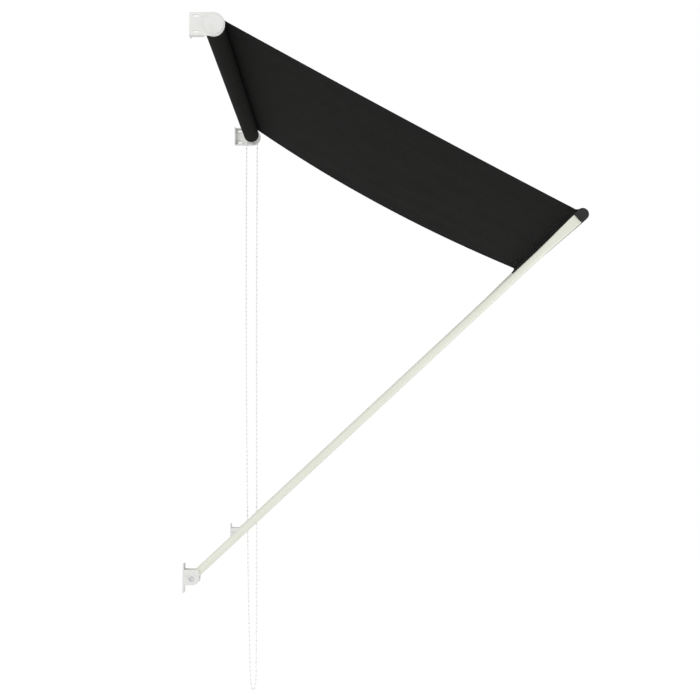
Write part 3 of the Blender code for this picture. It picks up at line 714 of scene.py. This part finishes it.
@dataclass(frozen=True)
class PhotoCamera:
    """The photograph's camera, from a least-squares fit on the brackets, roller, pivots, bar and seam."""

    place: tuple[float, float, float] = (-2.4634, -0.3359, -0.8169)
    yaw_degrees: float = 0.0471
    pitch_degrees: float = 3.3822
    roll_degrees: float = 0.2260
    lens_mm: float = 62.37
    sensor_mm: float = 36.0
    far_end: float = 60.0  # past the floor's far edge

    def build(self) -> None:
        """Make the camera and set it as the scene's."""
        yaw, pitch, roll = map(math.radians, (self.yaw_degrees, self.pitch_degrees, self.roll_degrees))
        ahead = Vector((math.cos(pitch) * math.cos(yaw), math.cos(pitch) * math.sin(yaw), math.sin(pitch)))
        level = ahead.cross(Vector((0, 0, 1))).normalized()
        upright = level.cross(ahead)
        right = level * math.cos(roll) + upright * math.sin(roll)
        top = upright * math.cos(roll) - level * math.sin(roll)
        data = bpy.data.cameras.new("photo_camera")
        data.lens = self.lens_mm
        data.sensor_width = self.sensor_mm
        data.clip_end = self.far_end
        camera = bpy.data.objects.new("photo_camera", data)
        bpy.context.scene.collection.objects.link(camera)
        turn = Matrix((right, top, -ahead)).transposed().to_4x4()
        camera.matrix_world = Matrix.Translation(self.place) @ turn
        bpy.context.scene.camera = camera


@dataclass(frozen=True)
class Lamp:
    """A square soft lamp, with its side in metres."""

    name: str
    place: tuple[float, float, float]
    target: tuple[float, float, float]
    size: float
    watts: float

    def build(self) -> None:
        """Hang the lamp, turned to its target."""
        data = bpy.data.lights.new(self.name, "AREA")
        data.shape = "SQUARE"
        data.size = self.size
        data.energy = self.watts
        lamp = bpy.data.objects.new(self.name, data)
        bpy.context.scene.collection.objects.link(lamp)
        lamp.location = self.place
        lamp.rotation_euler = (Vector(self.target) - Vector(self.place)).to_track_quat("-Z", "Y").to_euler()


@dataclass(frozen=True)
class Studio:
    """A pale floor, a white surround and two soft lamps."""

    floor_middle: tuple[float, float, float] = (0.5, -0.4, -2.80)
    floor_size: float = 40.0
    floor_glow: float = 0.45
    surround: float = 0.62
    lamps: tuple[Lamp, ...] = (
        Lamp("key_lamp", place=(-5.4, 2.6, 1.2), target=(0.5, -0.4, -0.6), size=3.6, watts=131.0),
        Lamp("fill_lamp", place=(-0.6, -3.0, -2.3), target=(0.5, -0.1, -0.1), size=1.6, watts=34.0),
    )

    def build(self) -> None:
        """Make the floor, the world and the lamps."""
        self.lay_floor()
        self.light_world()
        for lamp in self.lamps:
            lamp.build()

    def lay_floor(self) -> None:
        """Make the floor, which keeps the awning's shadow and looks white to the camera."""
        bm = bmesh.new()
        bmesh.ops.create_grid(bm, x_segments=1, y_segments=1, size=self.floor_size / 2)
        bmesh.ops.translate(bm, vec=self.floor_middle, verts=bm.verts)
        mesh = bpy.data.meshes.new("floor")
        bm.to_mesh(mesh)
        bm.free()
        floor = bpy.data.objects.new("floor", mesh)
        bpy.context.scene.collection.objects.link(floor)
        material, tree, output = new_material("pale_floor")
        camera_ray = add_node(tree, "ShaderNodeLightPath").outputs["Is Camera Ray"]
        seen = add_maths(tree, "MULTIPLY", camera_ray, self.floor_glow)
        paint = add_node(tree, "ShaderNodeBsdfDiffuse", inputs={"Color": linear("#f2f2f2")})
        glow = add_node(tree, "ShaderNodeEmission", inputs={"Color": linear("#ffffff"), "Strength": seen})
        lit = add_node(tree, "ShaderNodeAddShader", inputs={0: paint.outputs[0], 1: glow.outputs[0]})
        tree.links.new(lit.outputs[0], output.inputs["Surface"])
        mesh.materials.append(material)

    def light_world(self) -> None:
        """Make the surround: even light on the awning, plain white to the camera and in reflections."""
        world = bpy.data.worlds.new("white_surround")
        bpy.context.scene.world = world
        world.use_nodes = True
        tree = world.node_tree
        tree.nodes.clear()
        ray = add_node(tree, "ShaderNodeLightPath").outputs
        either = add_maths(tree, "MAXIMUM", ray["Is Camera Ray"], ray["Is Glossy Ray"])
        seen = add_maths(tree, "MAXIMUM", either, ray["Is Transmission Ray"])
        light, white = (
            add_node(tree, "ShaderNodeBackground", inputs={"Color": linear("#ffffff"), "Strength": strength})
            for strength in (self.surround, 1.0)
        )
        inputs = {0: seen, 1: light.outputs[0], 2: white.outputs[0]}
        mixed = add_node(tree, "ShaderNodeMixShader", inputs=inputs)
        output = add_node(tree, "ShaderNodeOutputWorld")
        tree.links.new(mixed.outputs[0], output.inputs["Surface"])


# Chain

@dataclass(frozen=True)
class BeadChain:
    """The endless bead chain: a thin cord with moulded balls, over the wheel and down to its loop."""

    route: tuple[tuple[float, float], ...] = (
        (-0.0150, -0.060), (-0.0140, -0.300), (-0.0110, -0.620), (-0.0060, -0.940), (0.0000, -1.240),
        (0.0058, -1.440), (0.0086, -1.525), (0.0115, -1.556), (0.0170, -1.567), (0.0222, -1.555),
        (0.0245, -1.524), (0.0247, -1.440), (0.0238, -1.240), (0.0212, -0.940), (0.0184, -0.620),
        (0.0161, -0.300), (0.0154, -0.060),
    )
    steps: int = 8  # points to each knot of the route, and on each side of the wheel
    top_gap: float = 6.0  # degrees left open on each side of the wheel's top
    wheel_end: float = 9.0  # degrees above the roller axis where the route begins
    bead_pitch: float = 12 * MM
    beads_on_wheel: int = 8
    bead_radius: float = 2.5 * MM
    cord_diameter: float = 2.2 * MM  # where the balls are moulded on
    strand_radius: float = 0.78 * MM  # between the balls
    cord_sides: int = 8

    @property
    def wheel_radius(self) -> float:
        """The circle that the beads run on."""
        return self.beads_on_wheel * self.bead_pitch / (2 * math.pi)

    def centreline(self, x: float, roller: Vector) -> list[Vector]:
        """Find the chain's route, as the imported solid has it.

        Args:
            x: the chain's plane.
            roller: the roller axis.

        Returns:
            The points of the route, from the wheel's top round to it again.
        """
        radius = self.wheel_radius
        route = (Vector((0, -out, height)) for out, height in self.route)
        knots = [Vector((0, radius, 0)), *route, Vector((0, -radius, 0))]
        first = self.arc(90 - self.top_gap, self.wheel_end)
        last = self.arc(180 - self.wheel_end, 90 + self.top_gap)
        offset = Vector((x, roller.y, roller.z))
        return [p + offset for p in (*first, *self.smooth_curve(knots), *last)]

    def arc(self, start: float, end: float) -> list[Vector]:
        """Points round the wheel between two angles in degrees."""
        angles = [math.radians(start + (end - start) * i / self.steps) for i in range(self.steps + 1)]
        return [Vector((0, math.cos(a), math.sin(a))) * self.wheel_radius for a in angles]

    def smooth_curve(self, knots: Sequence[Vector]) -> list[Vector]:
        """Join knots by one smooth curve through them all.

        Args:
            knots: the points it passes.

        Returns:
            Close points along the curve.
        """
        ends = [2 * knots[0] - knots[1], *knots, 2 * knots[-1] - knots[-2]]
        found = []
        for i in range(1, len(ends) - 2):
            a, b, c, d = ends[i - 1:i + 3]
            for k in range(self.steps):
                t = k / self.steps
                square, cube = 2 * a - 5 * b + 4 * c - d, 3 * b - a - 3 * c + d
                found.append(0.5 * (2 * b + (c - a) * t + square * t * t + cube * t ** 3))
        return [*found, knots[-1]]

    def build(self, roller: Vector) -> None:
        """Args:
            roller: the roller axis.
        """
        low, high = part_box("bead_chain")
        line = self.centreline((low[0] + high[0]) / 2, roller)
        cord = self.build_cord(line)
        beads = self.build_beads(line)
        for piece in (cord, beads):
            dress(piece, "chain_plastic")
        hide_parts("bead_chain")
        long = path_length(line)
        LOG.info("bead chain: %.3f m of cord, %d points", long, len(line))

    def build_cord(self, line: Sequence[Vector]) -> Piece:
        """Make the cord as a tube of rings joined one to the next.

        Args:
            line: its centreline.

        Returns:
            The cord.
        """
        bm = bmesh.new()
        rings = []
        for i, point in enumerate(line):
            way = (line[min(i + 1, len(line) - 1)] - line[max(i - 1, 0)]).normalized()
            side = way.cross(ALONG_X).normalized()
            turn = Matrix((ALONG_X, side, ALONG_X.cross(side))).transposed().to_4x4()
            made = bmesh.ops.create_circle(
                bm, cap_ends=False, radius=self.strand_radius, segments=self.cord_sides,
                matrix=Matrix.Translation(point) @ turn,
            )
            rings.append(edges_at(made["verts"]))
        join_rings(bm, rings)
        return finish_mesh(bm, "chain_cord", "wall_frame", CORD)

    def build_beads(self, line: Sequence[Vector]) -> Piece:
        """Make the balls along the chain, one in each pocket of the wheel.

        Args:
            line: the cord's centreline.

        Returns:
            All the balls as one piece.
        """
        places = self.bead_places(line)
        bm = bmesh.new()
        ball = bmesh.ops.create_uvsphere(bm, u_segments=8, v_segments=6, radius=self.bead_radius)["verts"]
        size = len(ball)
        balls = repeat_in_row(bm, ball, (0, 0, 0), len(places))
        for i, place in enumerate(places):
            for vert in balls[size * i:size * (i + 1)]:
                vert.co += place
        return finish_mesh(bm, "chain_beads", "wall_frame", BALL)

    def bead_places(self, line: Sequence[Vector]) -> list[Vector]:
        """Space the balls evenly round the loop, from the top of the wheel.

        Args:
            line: the cord's centreline.

        Returns:
            The middle of each ball.
        """
        gap = (line[-1] - line[0]).length
        long = path_length(line) + gap
        count = round(long / self.bead_pitch)
        pitch = long / count
        top = (line[0] + line[-1]) / 2
        top.z = line[0].z + self.wheel_radius * (1 - math.cos(math.radians(self.top_gap)))
        places = [top]
        walked, wanted = gap / 2, pitch
        for a, b in zip(line, line[1:]):
            part = (b - a).length
            while wanted <= walked + part and len(places) < count:
                places.append(a.lerp(b, (wanted - walked) / part))
                wanted += pitch
            walked += part
        return places


# Canvas

@dataclass(frozen=True)
class Canvas:
    """The cloth: wound on the roller, let out to the front bar, and sewn round it."""

    plane: CanvasPlane
    thickness: float = 0.6 * MM
    side_hem: float = 13 * MM
    hem_step: float = 0.4 * MM  # over which a side hem thins to the single cloth
    seam_flap: float = 11 * MM
    bar_radius: float = 12.8 * MM  # inside of the hem
    columns: int = 48
    rows: int = 56
    hem_steps: int = 40
    flap_steps: int = 4
    closed_length: float = 62.19 * MM  # still let out when the arms are up
    lead: float = 24 * MM  # passes over the roller even then
    tail: float = 12 * MM  # lies on the hem's flap even then
    tail_lap: float = 1.5 * MM  # reaches past the seam
    turn_drop: float = 0.75 * MM  # by which the last turn winds in
    wound_drop: float = 0.95 * MM  # from the last turn to the cloth under it
    core: float = 19.5 * MM  # innermost cloth
    wound_thickness: float = 0.5 * MM
    turn_steps: int = 64
    stitch_inset: float = 2.2 * MM  # from a side hem's edge
    first_stitch: float = 4 * MM  # from the roller
    stitch_length: float = 2.6 * MM
    stitch_pitch: float = 3.4 * MM
    stitch_radius: float = 0.22 * MM
    # Height, waves across the cloth, waves along it and phase of each ripple
    ripples: tuple[tuple[float, float, float, float], ...] = (
        (0.55 * MM, 5.3, 0.9, 0.6), (0.22 * MM, 11.7, -1.7, 2.1),
    )

    def build(self) -> None:
        plane = self.plane
        last = plane.length - self.tail
        sheet = self.build_sheet("canvas_cloth", "canvas", self.lead, last)
        lead = self.build_sheet("canvas_lead", "canvas", 0.0, self.lead)
        tail = self.build_sheet("canvas_tail", "front_bar", last, plane.length + self.tail_lap)
        outer, under = plane.height - self.turn_drop, plane.height - self.wound_drop
        turn = self.wind("canvas_outer_turn", "canvas", plane.height, outer, turns=0.985, begin=0.0)
        wound = self.wind("wound_canvas", "roller", under, self.core, turns=2.6, begin=0.35)
        hem = self.build_front_hem()
        for piece in (sheet, lead, tail, turn, wound, hem):
            dress(piece, "canvas")
        side_stitches = self.build_side_stitches("side_stitches", self.lead, last)
        lead_stitches = self.build_side_stitches("lead_stitches", self.first_stitch, self.lead)
        seam_stitches = self.build_seam_stitches()
        for piece in (side_stitches, lead_stitches, seam_stitches):
            dress(piece, "canvas", "thread")
        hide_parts("canvas_sheet")
        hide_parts("canvas_roll")
        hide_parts("canvas_hem")
        for piece in (sheet, side_stitches):
            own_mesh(piece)
        plane.length + 2 * MM
        LOG.info("canvas: %.1f x %.1f mm let out", plane.width / MM, plane.length / MM)

    def ripple(self, x: float, along: float) -> float:
        """Slight unevenness of the stretched cloth, none at its ends and least at the near side.

        Args:
            x: place along the roller.
            along: distance from the roller.

        Returns:
            Its height in metres.
        """
        share = along / self.plane.length
        across = (x - self.plane.left) / self.plane.width
        ends = math.sin(math.pi * min(max(share, 0), 1)) ** 0.8
        slack = 0.35 + 0.65 * across
        height = sum(
            high * math.sin(2 * math.pi * (wide * across + long * share) + phase)
            for high, wide, long, phase in self.ripples
        )
        return ends * slack * height

    def build_sheet(self, name: str, body: str, begin: float, end: float) -> Piece:
        """Make a length of the let-out cloth, doubled at its two side hems.

        Args:
            name: the piece's name.
            body: the body that carries it.
            begin: distance of its first edge from the roller.
            end: distance of its last edge.

        Returns:
            The cloth.
        """
        plane = self.plane
        rows = max(2, round(self.rows * (end - begin) / plane.length))
        bm = bmesh.new()
        along = bm.verts.layers.float.new("along")
        bmesh.ops.create_grid(bm, x_segments=self.columns, y_segments=rows, size=0.5)
        for inset in (self.side_hem, self.side_hem + self.hem_step):
            for side in (-1, 1):
                cut_across(bm, (side * (0.5 - inset / plane.width), 0, 0), ALONG_X)
        for vert in bm.verts:
            x = plane.left + (vert.co.x + 0.5) * plane.width
            distance = begin + (vert.co.y + 0.5) * (end - begin)
            vert[along] = distance
            vert.co = plane.point(x, distance, self.thickness / 2 + self.ripple(x, distance))
        outward(bm)
        if sum((face.normal for face in bm.faces), Vector()).dot(plane.up) < 0:
            bmesh.ops.reverse_faces(bm, faces=bm.faces)
        under = bmesh.ops.extrude_face_region(bm, geom=bm.faces[:])["geom"]
        for vert in [part for part in under if isinstance(part, Vert)]:
            from_side = min(vert.co.x - plane.left, plane.right - vert.co.x)
            layers = 2 if from_side < self.side_hem + self.hem_step / 2 else 1
            vert.co -= plane.up * self.thickness * layers
        outward(bm)
        return finish_mesh(bm, name, body, CLOTH)

    def wind(
        self,
        name: str,
        body: str,
        outer: float,
        inner: float,
        turns: float,
        begin: float,
    ) -> Piece:
        """Wind cloth on the roller, from its outer end inwards.

        Args:
            name: the piece's name.
            body: the body that carries it.
            outer: radius of the cloth's middle at its outer end.
            inner: radius at its inner end.
            turns: how often it goes round.
            begin: share of a turn from where the sheet leaves the roller.

        Returns:
            The wound cloth.
        """
        plane = self.plane
        centre = plane.roller
        steps = round(self.turn_steps * turns)
        bm = bmesh.new()
        along = bm.verts.layers.float.new("along")
        ends = [bm.verts.new(centre + plane.up * outer + ALONG_X * x) for x in (plane.left, plane.right)]
        edge = bm.edges.new(ends)
        turn = Matrix.Rotation(-2 * math.pi * begin, 3, "X")
        bmesh.ops.rotate(bm, verts=bm.verts, cent=centre, matrix=turn)
        bmesh.ops.spin(
            bm, geom=[*ends, edge], cent=centre, axis=(-1, 0, 0), angle=2 * math.pi * turns, steps=steps,
            use_merge=False, use_normal_flip=False, use_duplicate=False,
        )
        bm.verts.ensure_lookup_table()
        for vert in bm.verts:
            share = vert.index // 2 / steps
            radius = outer + (inner - outer) * share
            arm = Vector((0, vert.co.y - centre.y, vert.co.z - centre.z)).normalized()
            vert.co = Vector((vert.co.x, centre.y, centre.z)) + arm * radius
            vert[along] = -2 * math.pi * radius * turns * share
        for x in (plane.left + self.side_hem, plane.right - self.side_hem):
            cut_across(bm, (x, 0, 0), ALONG_X)
        bmesh.ops.solidify(bm, geom=bm.faces[:], thickness=self.wound_thickness)
        outward(bm)
        return finish_mesh(bm, name, body, CLOTH)

    def hem_outline(self) -> list[tuple[Vector, float]]:
        """The middle line of the cloth round the front bar, from the seam over the bar and back to it.

        Returns:
            Points at x = 0 with their distance along the cloth.
        """
        plane = self.plane
        radius = self.bar_radius + self.thickness / 2
        back = -plane.seam_back
        spread = math.acos(radius / plane.tip_reach)
        tip = math.atan2(plane.tip_rise, back)
        first, last = tip - spread, tip + spread - 2 * math.pi
        angles = [first + (last - first) * i / self.hem_steps for i in range(self.hem_steps + 1)]
        points = [
            (back, plane.tip_rise + self.thickness / 2),
            *((radius * math.cos(angle), radius * math.sin(angle)) for angle in angles),
            (back, plane.tip_rise - self.thickness),
        ]
        found = []
        distance = plane.length
        for before, point in zip([points[0], *points], points):
            distance += math.dist(before, point)
            along, rise = point
            found.append((plane.bar + plane.down * along + plane.up * rise, distance))
        return found

    def build_front_hem(self) -> Piece:
        """Make the hem round the front bar, with its flap sewn under the sheet.

        Returns:
            The hem.
        """
        plane = self.plane
        line = self.hem_outline()
        end, seam = line[-1]
        flap = [(end, seam + self.seam_flap * (i + 1) / self.flap_steps) for i in range(self.flap_steps)]
        bm = bmesh.new()
        along = bm.verts.layers.float.new("along")
        chain = []
        for point, distance in (*line, *flap):
            vert = bm.verts.new((plane.left, point.y, point.z))
            vert[along] = distance
            chain.append(vert)
        front = [bm.edges.new(pair) for pair in zip(chain, chain[1:])]
        for _ in range(self.columns):
            made = bmesh.ops.extrude_edge_only(bm, edges=front)["geom"]
            fresh = [part for part in made if isinstance(part, Vert)]
            bmesh.ops.translate(bm, vec=(plane.width / self.columns, 0, 0), verts=fresh)
            front = [part for part in made if isinstance(part, Edge)]
        # The flap was left at the seam, and is laid along the sagging sheet here
        for vert in bm.verts:
            back = vert[along] - seam
            if back > TINY:
                vert.co = plane.point(vert.co.x, plane.length - back, -1.75 * self.thickness)
        outward(bm)
        bmesh.ops.solidify(bm, geom=bm.faces[:], thickness=self.thickness)
        outward(bm)
        return finish_mesh(bm, "front_hem", "front_bar", CLOTH)

    def sew_row(self, bm: Mesh, place: Sequence[float], lengthways: int, count: int) -> None:
        """Add a row of stitches on the flat cloth, each a short thread that dips in at its ends.

        Args:
            bm: the mesh, laid flat: X across the cloth, Y along it, Z out of it.
            place: where the row begins.
            lengthways: 0 for a row across the cloth, 1 for one along it.
            count: how many stitches it has.
        """
        size, step = [1.0] * 3, [0.0] * 3
        size[lengthways] = self.stitch_length / 2 / self.stitch_radius
        step[lengthways] = self.stitch_pitch
        middle = [begin + part / 2 for begin, part in zip(place, step)]
        made = bmesh.ops.create_uvsphere(
            bm, u_segments=6, v_segments=4, radius=self.stitch_radius,
            matrix=Matrix.Translation(middle) @ Matrix.Diagonal((*size, 1.0)),
        )
        repeat_in_row(bm, made["verts"], step, count)

    def hang(self, bm: Mesh, name: str, body: str) -> Piece:
        """Bend stitches that were laid flat on to the slack cloth.

        Args:
            bm: the mesh, with X across the cloth, Y along it and Z out of it.
            name: the piece's name.
            body: the body that carries it.

        Returns:
            The stitches.
        """
        for vert in bm.verts:
            x, along, rise = vert.co
            vert.co = self.plane.point(x, along, rise + self.ripple(x, along))
        outward(bm)
        return finish_mesh(bm, name, body, BALL)

    def build_side_stitches(self, name: str, begin: float, end: float) -> Piece:
        """Sew the two side hems of a length of the sheet, above and below.

        Args:
            name: the piece's name.
            begin: distance of the first stitch from the roller.
            end: distance of the last one.

        Returns:
            The stitches.
        """
        inset = self.side_hem - self.stitch_inset
        count = int((end - begin) / self.stitch_pitch)
        bm = bmesh.new()
        for x in (self.plane.left + inset, self.plane.right - inset):
            for rise in (0.5 * self.thickness, -1.5 * self.thickness):
                self.sew_row(bm, (x, begin, rise), 1, count)
        return self.hang(bm, name, "canvas")

    def build_seam_stitches(self) -> Piece:
        """Sew the hem's flap under the sheet, beside the front bar.

        Returns:
            The stitches.
        """
        plane = self.plane
        inset = 3 * MM
        count = int((plane.width - 2 * inset) / self.stitch_pitch)
        bm = bmesh.new()
        for back in (2.0 * MM, self.seam_flap - 2.5 * MM):
            for rise in (0.5 * self.thickness, -2.3 * self.thickness):
                self.sew_row(bm, (plane.left + inset, plane.length - back, rise), 0, count)
        return self.hang(bm, "seam_stitches", "front_bar")


# Painted steel

class Side(Enum):
    """The two ends of the awning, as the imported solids' names have them."""

    LEFT = "left"
    RIGHT = "right"


@dataclass(frozen=True)
class SteelEnds:
    """The pressed brackets at the roller and at the foot of the arms."""

    roller: Vector
    fold_radius: float = 2.0 * MM
    cut_radius: float = 0.35 * MM
    lip_reach: float = 30 * MM

    def build(self) -> None:
        """Make the four brackets."""
        for side in Side:
            self.build_upper(side)
            self.build_lower(side)
        LOG.info("four pressed brackets")

    def on_fold(self, edge: Edge, face: float, box: tuple[Sequence[float], Sequence[float]]) -> bool:
        """Tell whether an edge lies on the outside of a fold.

        Args:
            edge: the edge.
            face: x of the bracket's outer face.
            box: the bracket's lowest and highest corners.

        Returns:
            Whether it is rounded as a fold.
        """
        low, high = box
        a, b = (vert.co for vert in edge.verts)
        if abs(a.x - face) > TINY or abs(b.x - face) > TINY:
            return False
        lips = all(min(abs(p.z - low[2]), abs(p.z - high[2])) < TINY for p in (a, b))
        reach = all(p.y > -self.lip_reach - TINY for p in (a, b))
        flange = all(abs(p.y - high[1]) < TINY for p in (a, b))
        return (lips and reach and abs(a.z - b.z) < TINY) or flange

    def build_upper(self, side: Side) -> None:
        """Make a roller bracket with rounded folds and paint over its cut edges.

        Args:
            side: which end.
        """
        node = f"{side.value}_upper_bracket"
        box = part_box(node)
        face = box[0][0] if side is Side.LEFT else box[1][0]
        bm = merged_copy(node)
        true_circles(bm, self.roller)
        cut_across(bm, (0, -self.lip_reach, 0), (0, 1, 0))
        round_edges(bm, self.fold_radius, 4, lambda edge: self.on_fold(edge, face, box), wear=0.0)
        round_edges(bm, self.cut_radius)
        stand_in(bm, f"{side.value}_roller_bracket", "wall_frame", node, "white_paint")

    def build_lower(self, side: Side) -> None:
        """Make an arm bracket with rounded edges.

        Args:
            side: which end.
        """
        node = f"{side.value}_arm_bracket"
        bm = merged_copy(node)
        round_edges(bm, self.cut_radius)
        stand_in(bm, f"{side.value}_foot_bracket", "wall_frame", node, "white_paint")


class Centre(Enum):
    """The three axes along X that round parts lie on."""

    ROLLER = "roller_tube"
    BAR = "front_bar"
    PIVOT = "left_pivot_bolt"


@dataclass(frozen=True)
class Fitting:
    """One moulding, bolt or pin: the body that carries it, its finish, its edge rounding and its axis."""

    node: str
    body: str
    finish: str
    edge_mm: float
    centre: Centre

    def build(self) -> None:
        """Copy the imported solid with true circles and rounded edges."""
        bm = merged_copy(self.node)
        true_circles(bm, middle_of(self.centre.value))
        if self.edge_mm:
            round_edges(bm, self.edge_mm * MM)
        stand_in(bm, f"{self.node}_finished", self.body, self.node, self.finish)


@dataclass(frozen=True)
class SmallFittings:
    """Mouldings, bolts and pins, and the parts inside the roller."""

    seen: tuple[Fitting, ...] = (
        Fitting("left_bracket_cap", "wall_frame", "white_plastic", 0.25, Centre.ROLLER),
        Fitting("right_bracket_cap", "wall_frame", "white_plastic", 0.25, Centre.ROLLER),
        Fitting("chain_guard", "wall_frame", "white_plastic", 0.3, Centre.ROLLER),
        Fitting("idler_plug", "roller", "white_plastic", 0.4, Centre.ROLLER),
        Fitting("roller_tube", "roller", "aluminium", 0.0, Centre.ROLLER),
        Fitting("left_pivot_bolt", "wall_frame", "zinc", 0.25, Centre.PIVOT),
        Fitting("right_pivot_bolt", "wall_frame", "zinc", 0.25, Centre.PIVOT),
        Fitting("left_pivot_nut", "wall_frame", "zinc", 0.3, Centre.PIVOT),
        Fitting("right_pivot_nut", "wall_frame", "zinc", 0.3, Centre.PIVOT),
        Fitting("left_arm_left_bush", "left_arm", "black_plastic", 0.15, Centre.PIVOT),
        Fitting("left_arm_right_bush", "left_arm", "black_plastic", 0.15, Centre.PIVOT),
        Fitting("right_arm_left_bush", "right_arm", "black_plastic", 0.15, Centre.PIVOT),
        Fitting("right_arm_right_bush", "right_arm", "black_plastic", 0.15, Centre.PIVOT),
        Fitting("left_bar_pin", "left_arm", "zinc", 0.2, Centre.BAR),
        Fitting("right_bar_pin", "right_arm", "zinc", 0.2, Centre.BAR),
        Fitting("front_bar", "front_bar", "cream_paint", 0.0, Centre.BAR),
        Fitting("left_bar_plug", "front_bar", "black_plastic", 0.2, Centre.BAR),
        Fitting("right_bar_plug", "front_bar", "black_plastic", 0.2, Centre.BAR),
    )
    inside: tuple[tuple[str, str], ...] = (
        ("drive_hub", "white_plastic"), ("clutch_spring", "zinc"), ("idler_pin", "zinc"),
        ("chain_wheel", "black_plastic"),
    )

    def build(self) -> None:
        """Make the fittings that show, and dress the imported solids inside."""
        for fitting in self.seen:
            fitting.build()
        for node, look in self.inside:
            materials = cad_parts[node].data.materials
            materials.clear()
            materials.append(finish(look))
        LOG.info("%d fittings, %d solids inside", len(self.seen), len(self.inside))


@dataclass(frozen=True)
class ArmPart:
    """What an arm's pieces share: their side, and the line from the arm's pivot to the front bar."""

    side: Side
    pivot: Vector
    bar: Vector
    knuckle_reach: float = 13.4 * MM  # front bar axis to the knuckle's mouth

    @property
    def way(self) -> Vector:
        """The way up the arm."""
        return (self.bar - self.pivot).normalized()

    @property
    def across(self) -> Vector:
        """The way across the arm, square to X."""
        return ALONG_X.cross(self.way)


@dataclass(frozen=True)
class Knuckle(ArmPart):
    """A dark moulding that joins an arm to the front bar, a little narrower at its mouth than at the bar."""

    radius: float = 12.8 * MM
    mouth_half_width: float = 11.6 * MM
    edge_radius: float = 0.3 * MM

    def build(self) -> None:
        """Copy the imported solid, taper it towards its mouth and round its edges."""
        node = f"{self.side.value}_knuckle"
        way, across = self.way, self.across
        bm = merged_copy(node)
        true_circles(bm, self.bar)
        for vert in bm.verts:
            depth = (self.bar - vert.co).dot(way)
            if depth > 0:
                wide = (vert.co - self.bar).dot(across)
                taper = (1 - self.mouth_half_width / self.radius) * depth / self.knuckle_reach
                vert.co -= across * wide * taper
        round_edges(bm, self.edge_radius)
        arm = f"{self.side.value}_arm"
        stand_in(bm, f"{arm}_knuckle", arm, node, "black_plastic")


@dataclass(frozen=True)
class SwingArm(ArmPart):
    """A cream steel tube, open at its foot and pressed flat where the knuckle takes it."""

    radius: float = 8.0 * MM
    wall: float = 1.2 * MM
    flat_half_width: float = 11.0 * MM
    flatten_length: float = 150 * MM
    foot: float = 7.5 * MM  # pivot to the open end
    tip: float = 8.1 * MM  # front bar axis to the closed end
    bore_depth: float = 90 * MM
    outer_lip: float = 0.35 * MM  # rounding of the open end
    inner_lip: float = 0.2 * MM
    first_ring: float = 3 * MM  # from the open end
    straight_steps: int = 12
    flat_steps: int = 24
    tip_shares: tuple[float, ...] = (0, 0.35, 0.6, 0.8, 0.92, 1)
    sides: int = 48

    @property
    def length(self) -> float:
        """Pivot to front bar."""
        return (self.bar - self.pivot).length

    @property
    def flat_start(self) -> float:
        """Where the tube starts to flatten."""
        return self.length - self.knuckle_reach - self.flatten_length

    def section(self, distance: float) -> tuple[float, float]:
        """Half width and half thickness at a distance from the pivot: a flattened tube keeps its girth.

        Args:
            distance: from the pivot.

        Returns:
            The two halves.
        """
        share = min(max((distance - self.flat_start) / self.flatten_length, 0), 1)
        eased = share ** 3 * (4 - 3 * share)
        half_width = self.radius + (self.flat_half_width - self.radius) * eased
        half_thickness = (math.pi / 2 * self.radius - half_width) / (math.pi / 2 - 1)
        past = distance - self.length
        if past > 0:
            half_width = min(half_width, math.sqrt(self.flat_half_width ** 2 - past ** 2))
        return half_width, half_thickness

    def ring(self, bm: Mesh, distance: float, inset: float = 0.0) -> list[Edge]:
        """Add the tube's outline at a distance from the pivot.

        Args:
            bm: the mesh.
            distance: from the pivot.
            inset: how far inside the outer face.

        Returns:
            The outline's edges.
        """
        half_width, half_thickness = (half - inset for half in self.section(distance))
        flat = half_width - half_thickness
        made = bmesh.ops.create_circle(bm, cap_ends=False, radius=half_thickness, segments=self.sides)
        for vert in made["verts"]:
            wide = vert.co.y + math.copysign(flat, vert.co.y) if abs(vert.co.y) > 1e-7 else 0.0
            vert.co = self.pivot + ALONG_X * vert.co.x + self.across * wide + self.way * distance
        return edges_at(made["verts"])

    def build(self) -> None:
        """Make the arm, from its tip down the outside and up into the bore."""
        foot, start, steps = -self.foot, self.flat_start, self.straight_steps
        first = foot + self.first_ring
        outer = [foot + self.outer_lip, first]
        outer += [first + (start - foot) * i / steps for i in range(1, steps)]
        outer += [start + self.flatten_length * i / self.flat_steps for i in range(self.flat_steps + 1)]
        outer += [self.length + self.tip * share for share in self.tip_shares]
        inner = [
            (foot, self.outer_lip), (foot, self.wall - self.inner_lip), (foot + self.inner_lip, self.wall),
            (self.bore_depth, self.wall),
        ]
        bm = bmesh.new()
        rings = [self.ring(bm, distance) for distance in reversed(outer)]
        rings += [self.ring(bm, distance, inset) for distance, inset in inner]
        join_rings(bm, rings)
        arm = f"{self.side.value}_arm"
        piece = finish_mesh(bm, f"{arm}_tube", arm, TUBE)
        dress(piece, "cream_paint")
        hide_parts(arm)
        LOG.info("%s: %.0f mm", arm, self.length / MM)


def main() -> None:
    """Build and dress the whole awning."""
    logging.basicConfig(level=logging.INFO, format="%(relativeCreated)6d ms  %(message)s")
    bpy.context.scene.view_settings.view_transform = "Standard"
    PhotoCamera().build()
    plane = CanvasPlane.read()
    BeadChain().build(plane.roller)
    Canvas(plane).build()
    SteelEnds(plane.roller).build()
    SmallFittings().build()
    for side in Side:
        pivot = middle_of(f"{side.value}_pivot_bolt")
        x = middle_of(f"{side.value}_knuckle").x
        foot, top = Vector((x, pivot.y, pivot.z)), Vector((x, plane.bar.y, plane.bar.z))
        SwingArm(side, foot, top).build()
        Knuckle(side, foot, top).build()
    Studio().build()


if __name__ == "__main__":
    main()
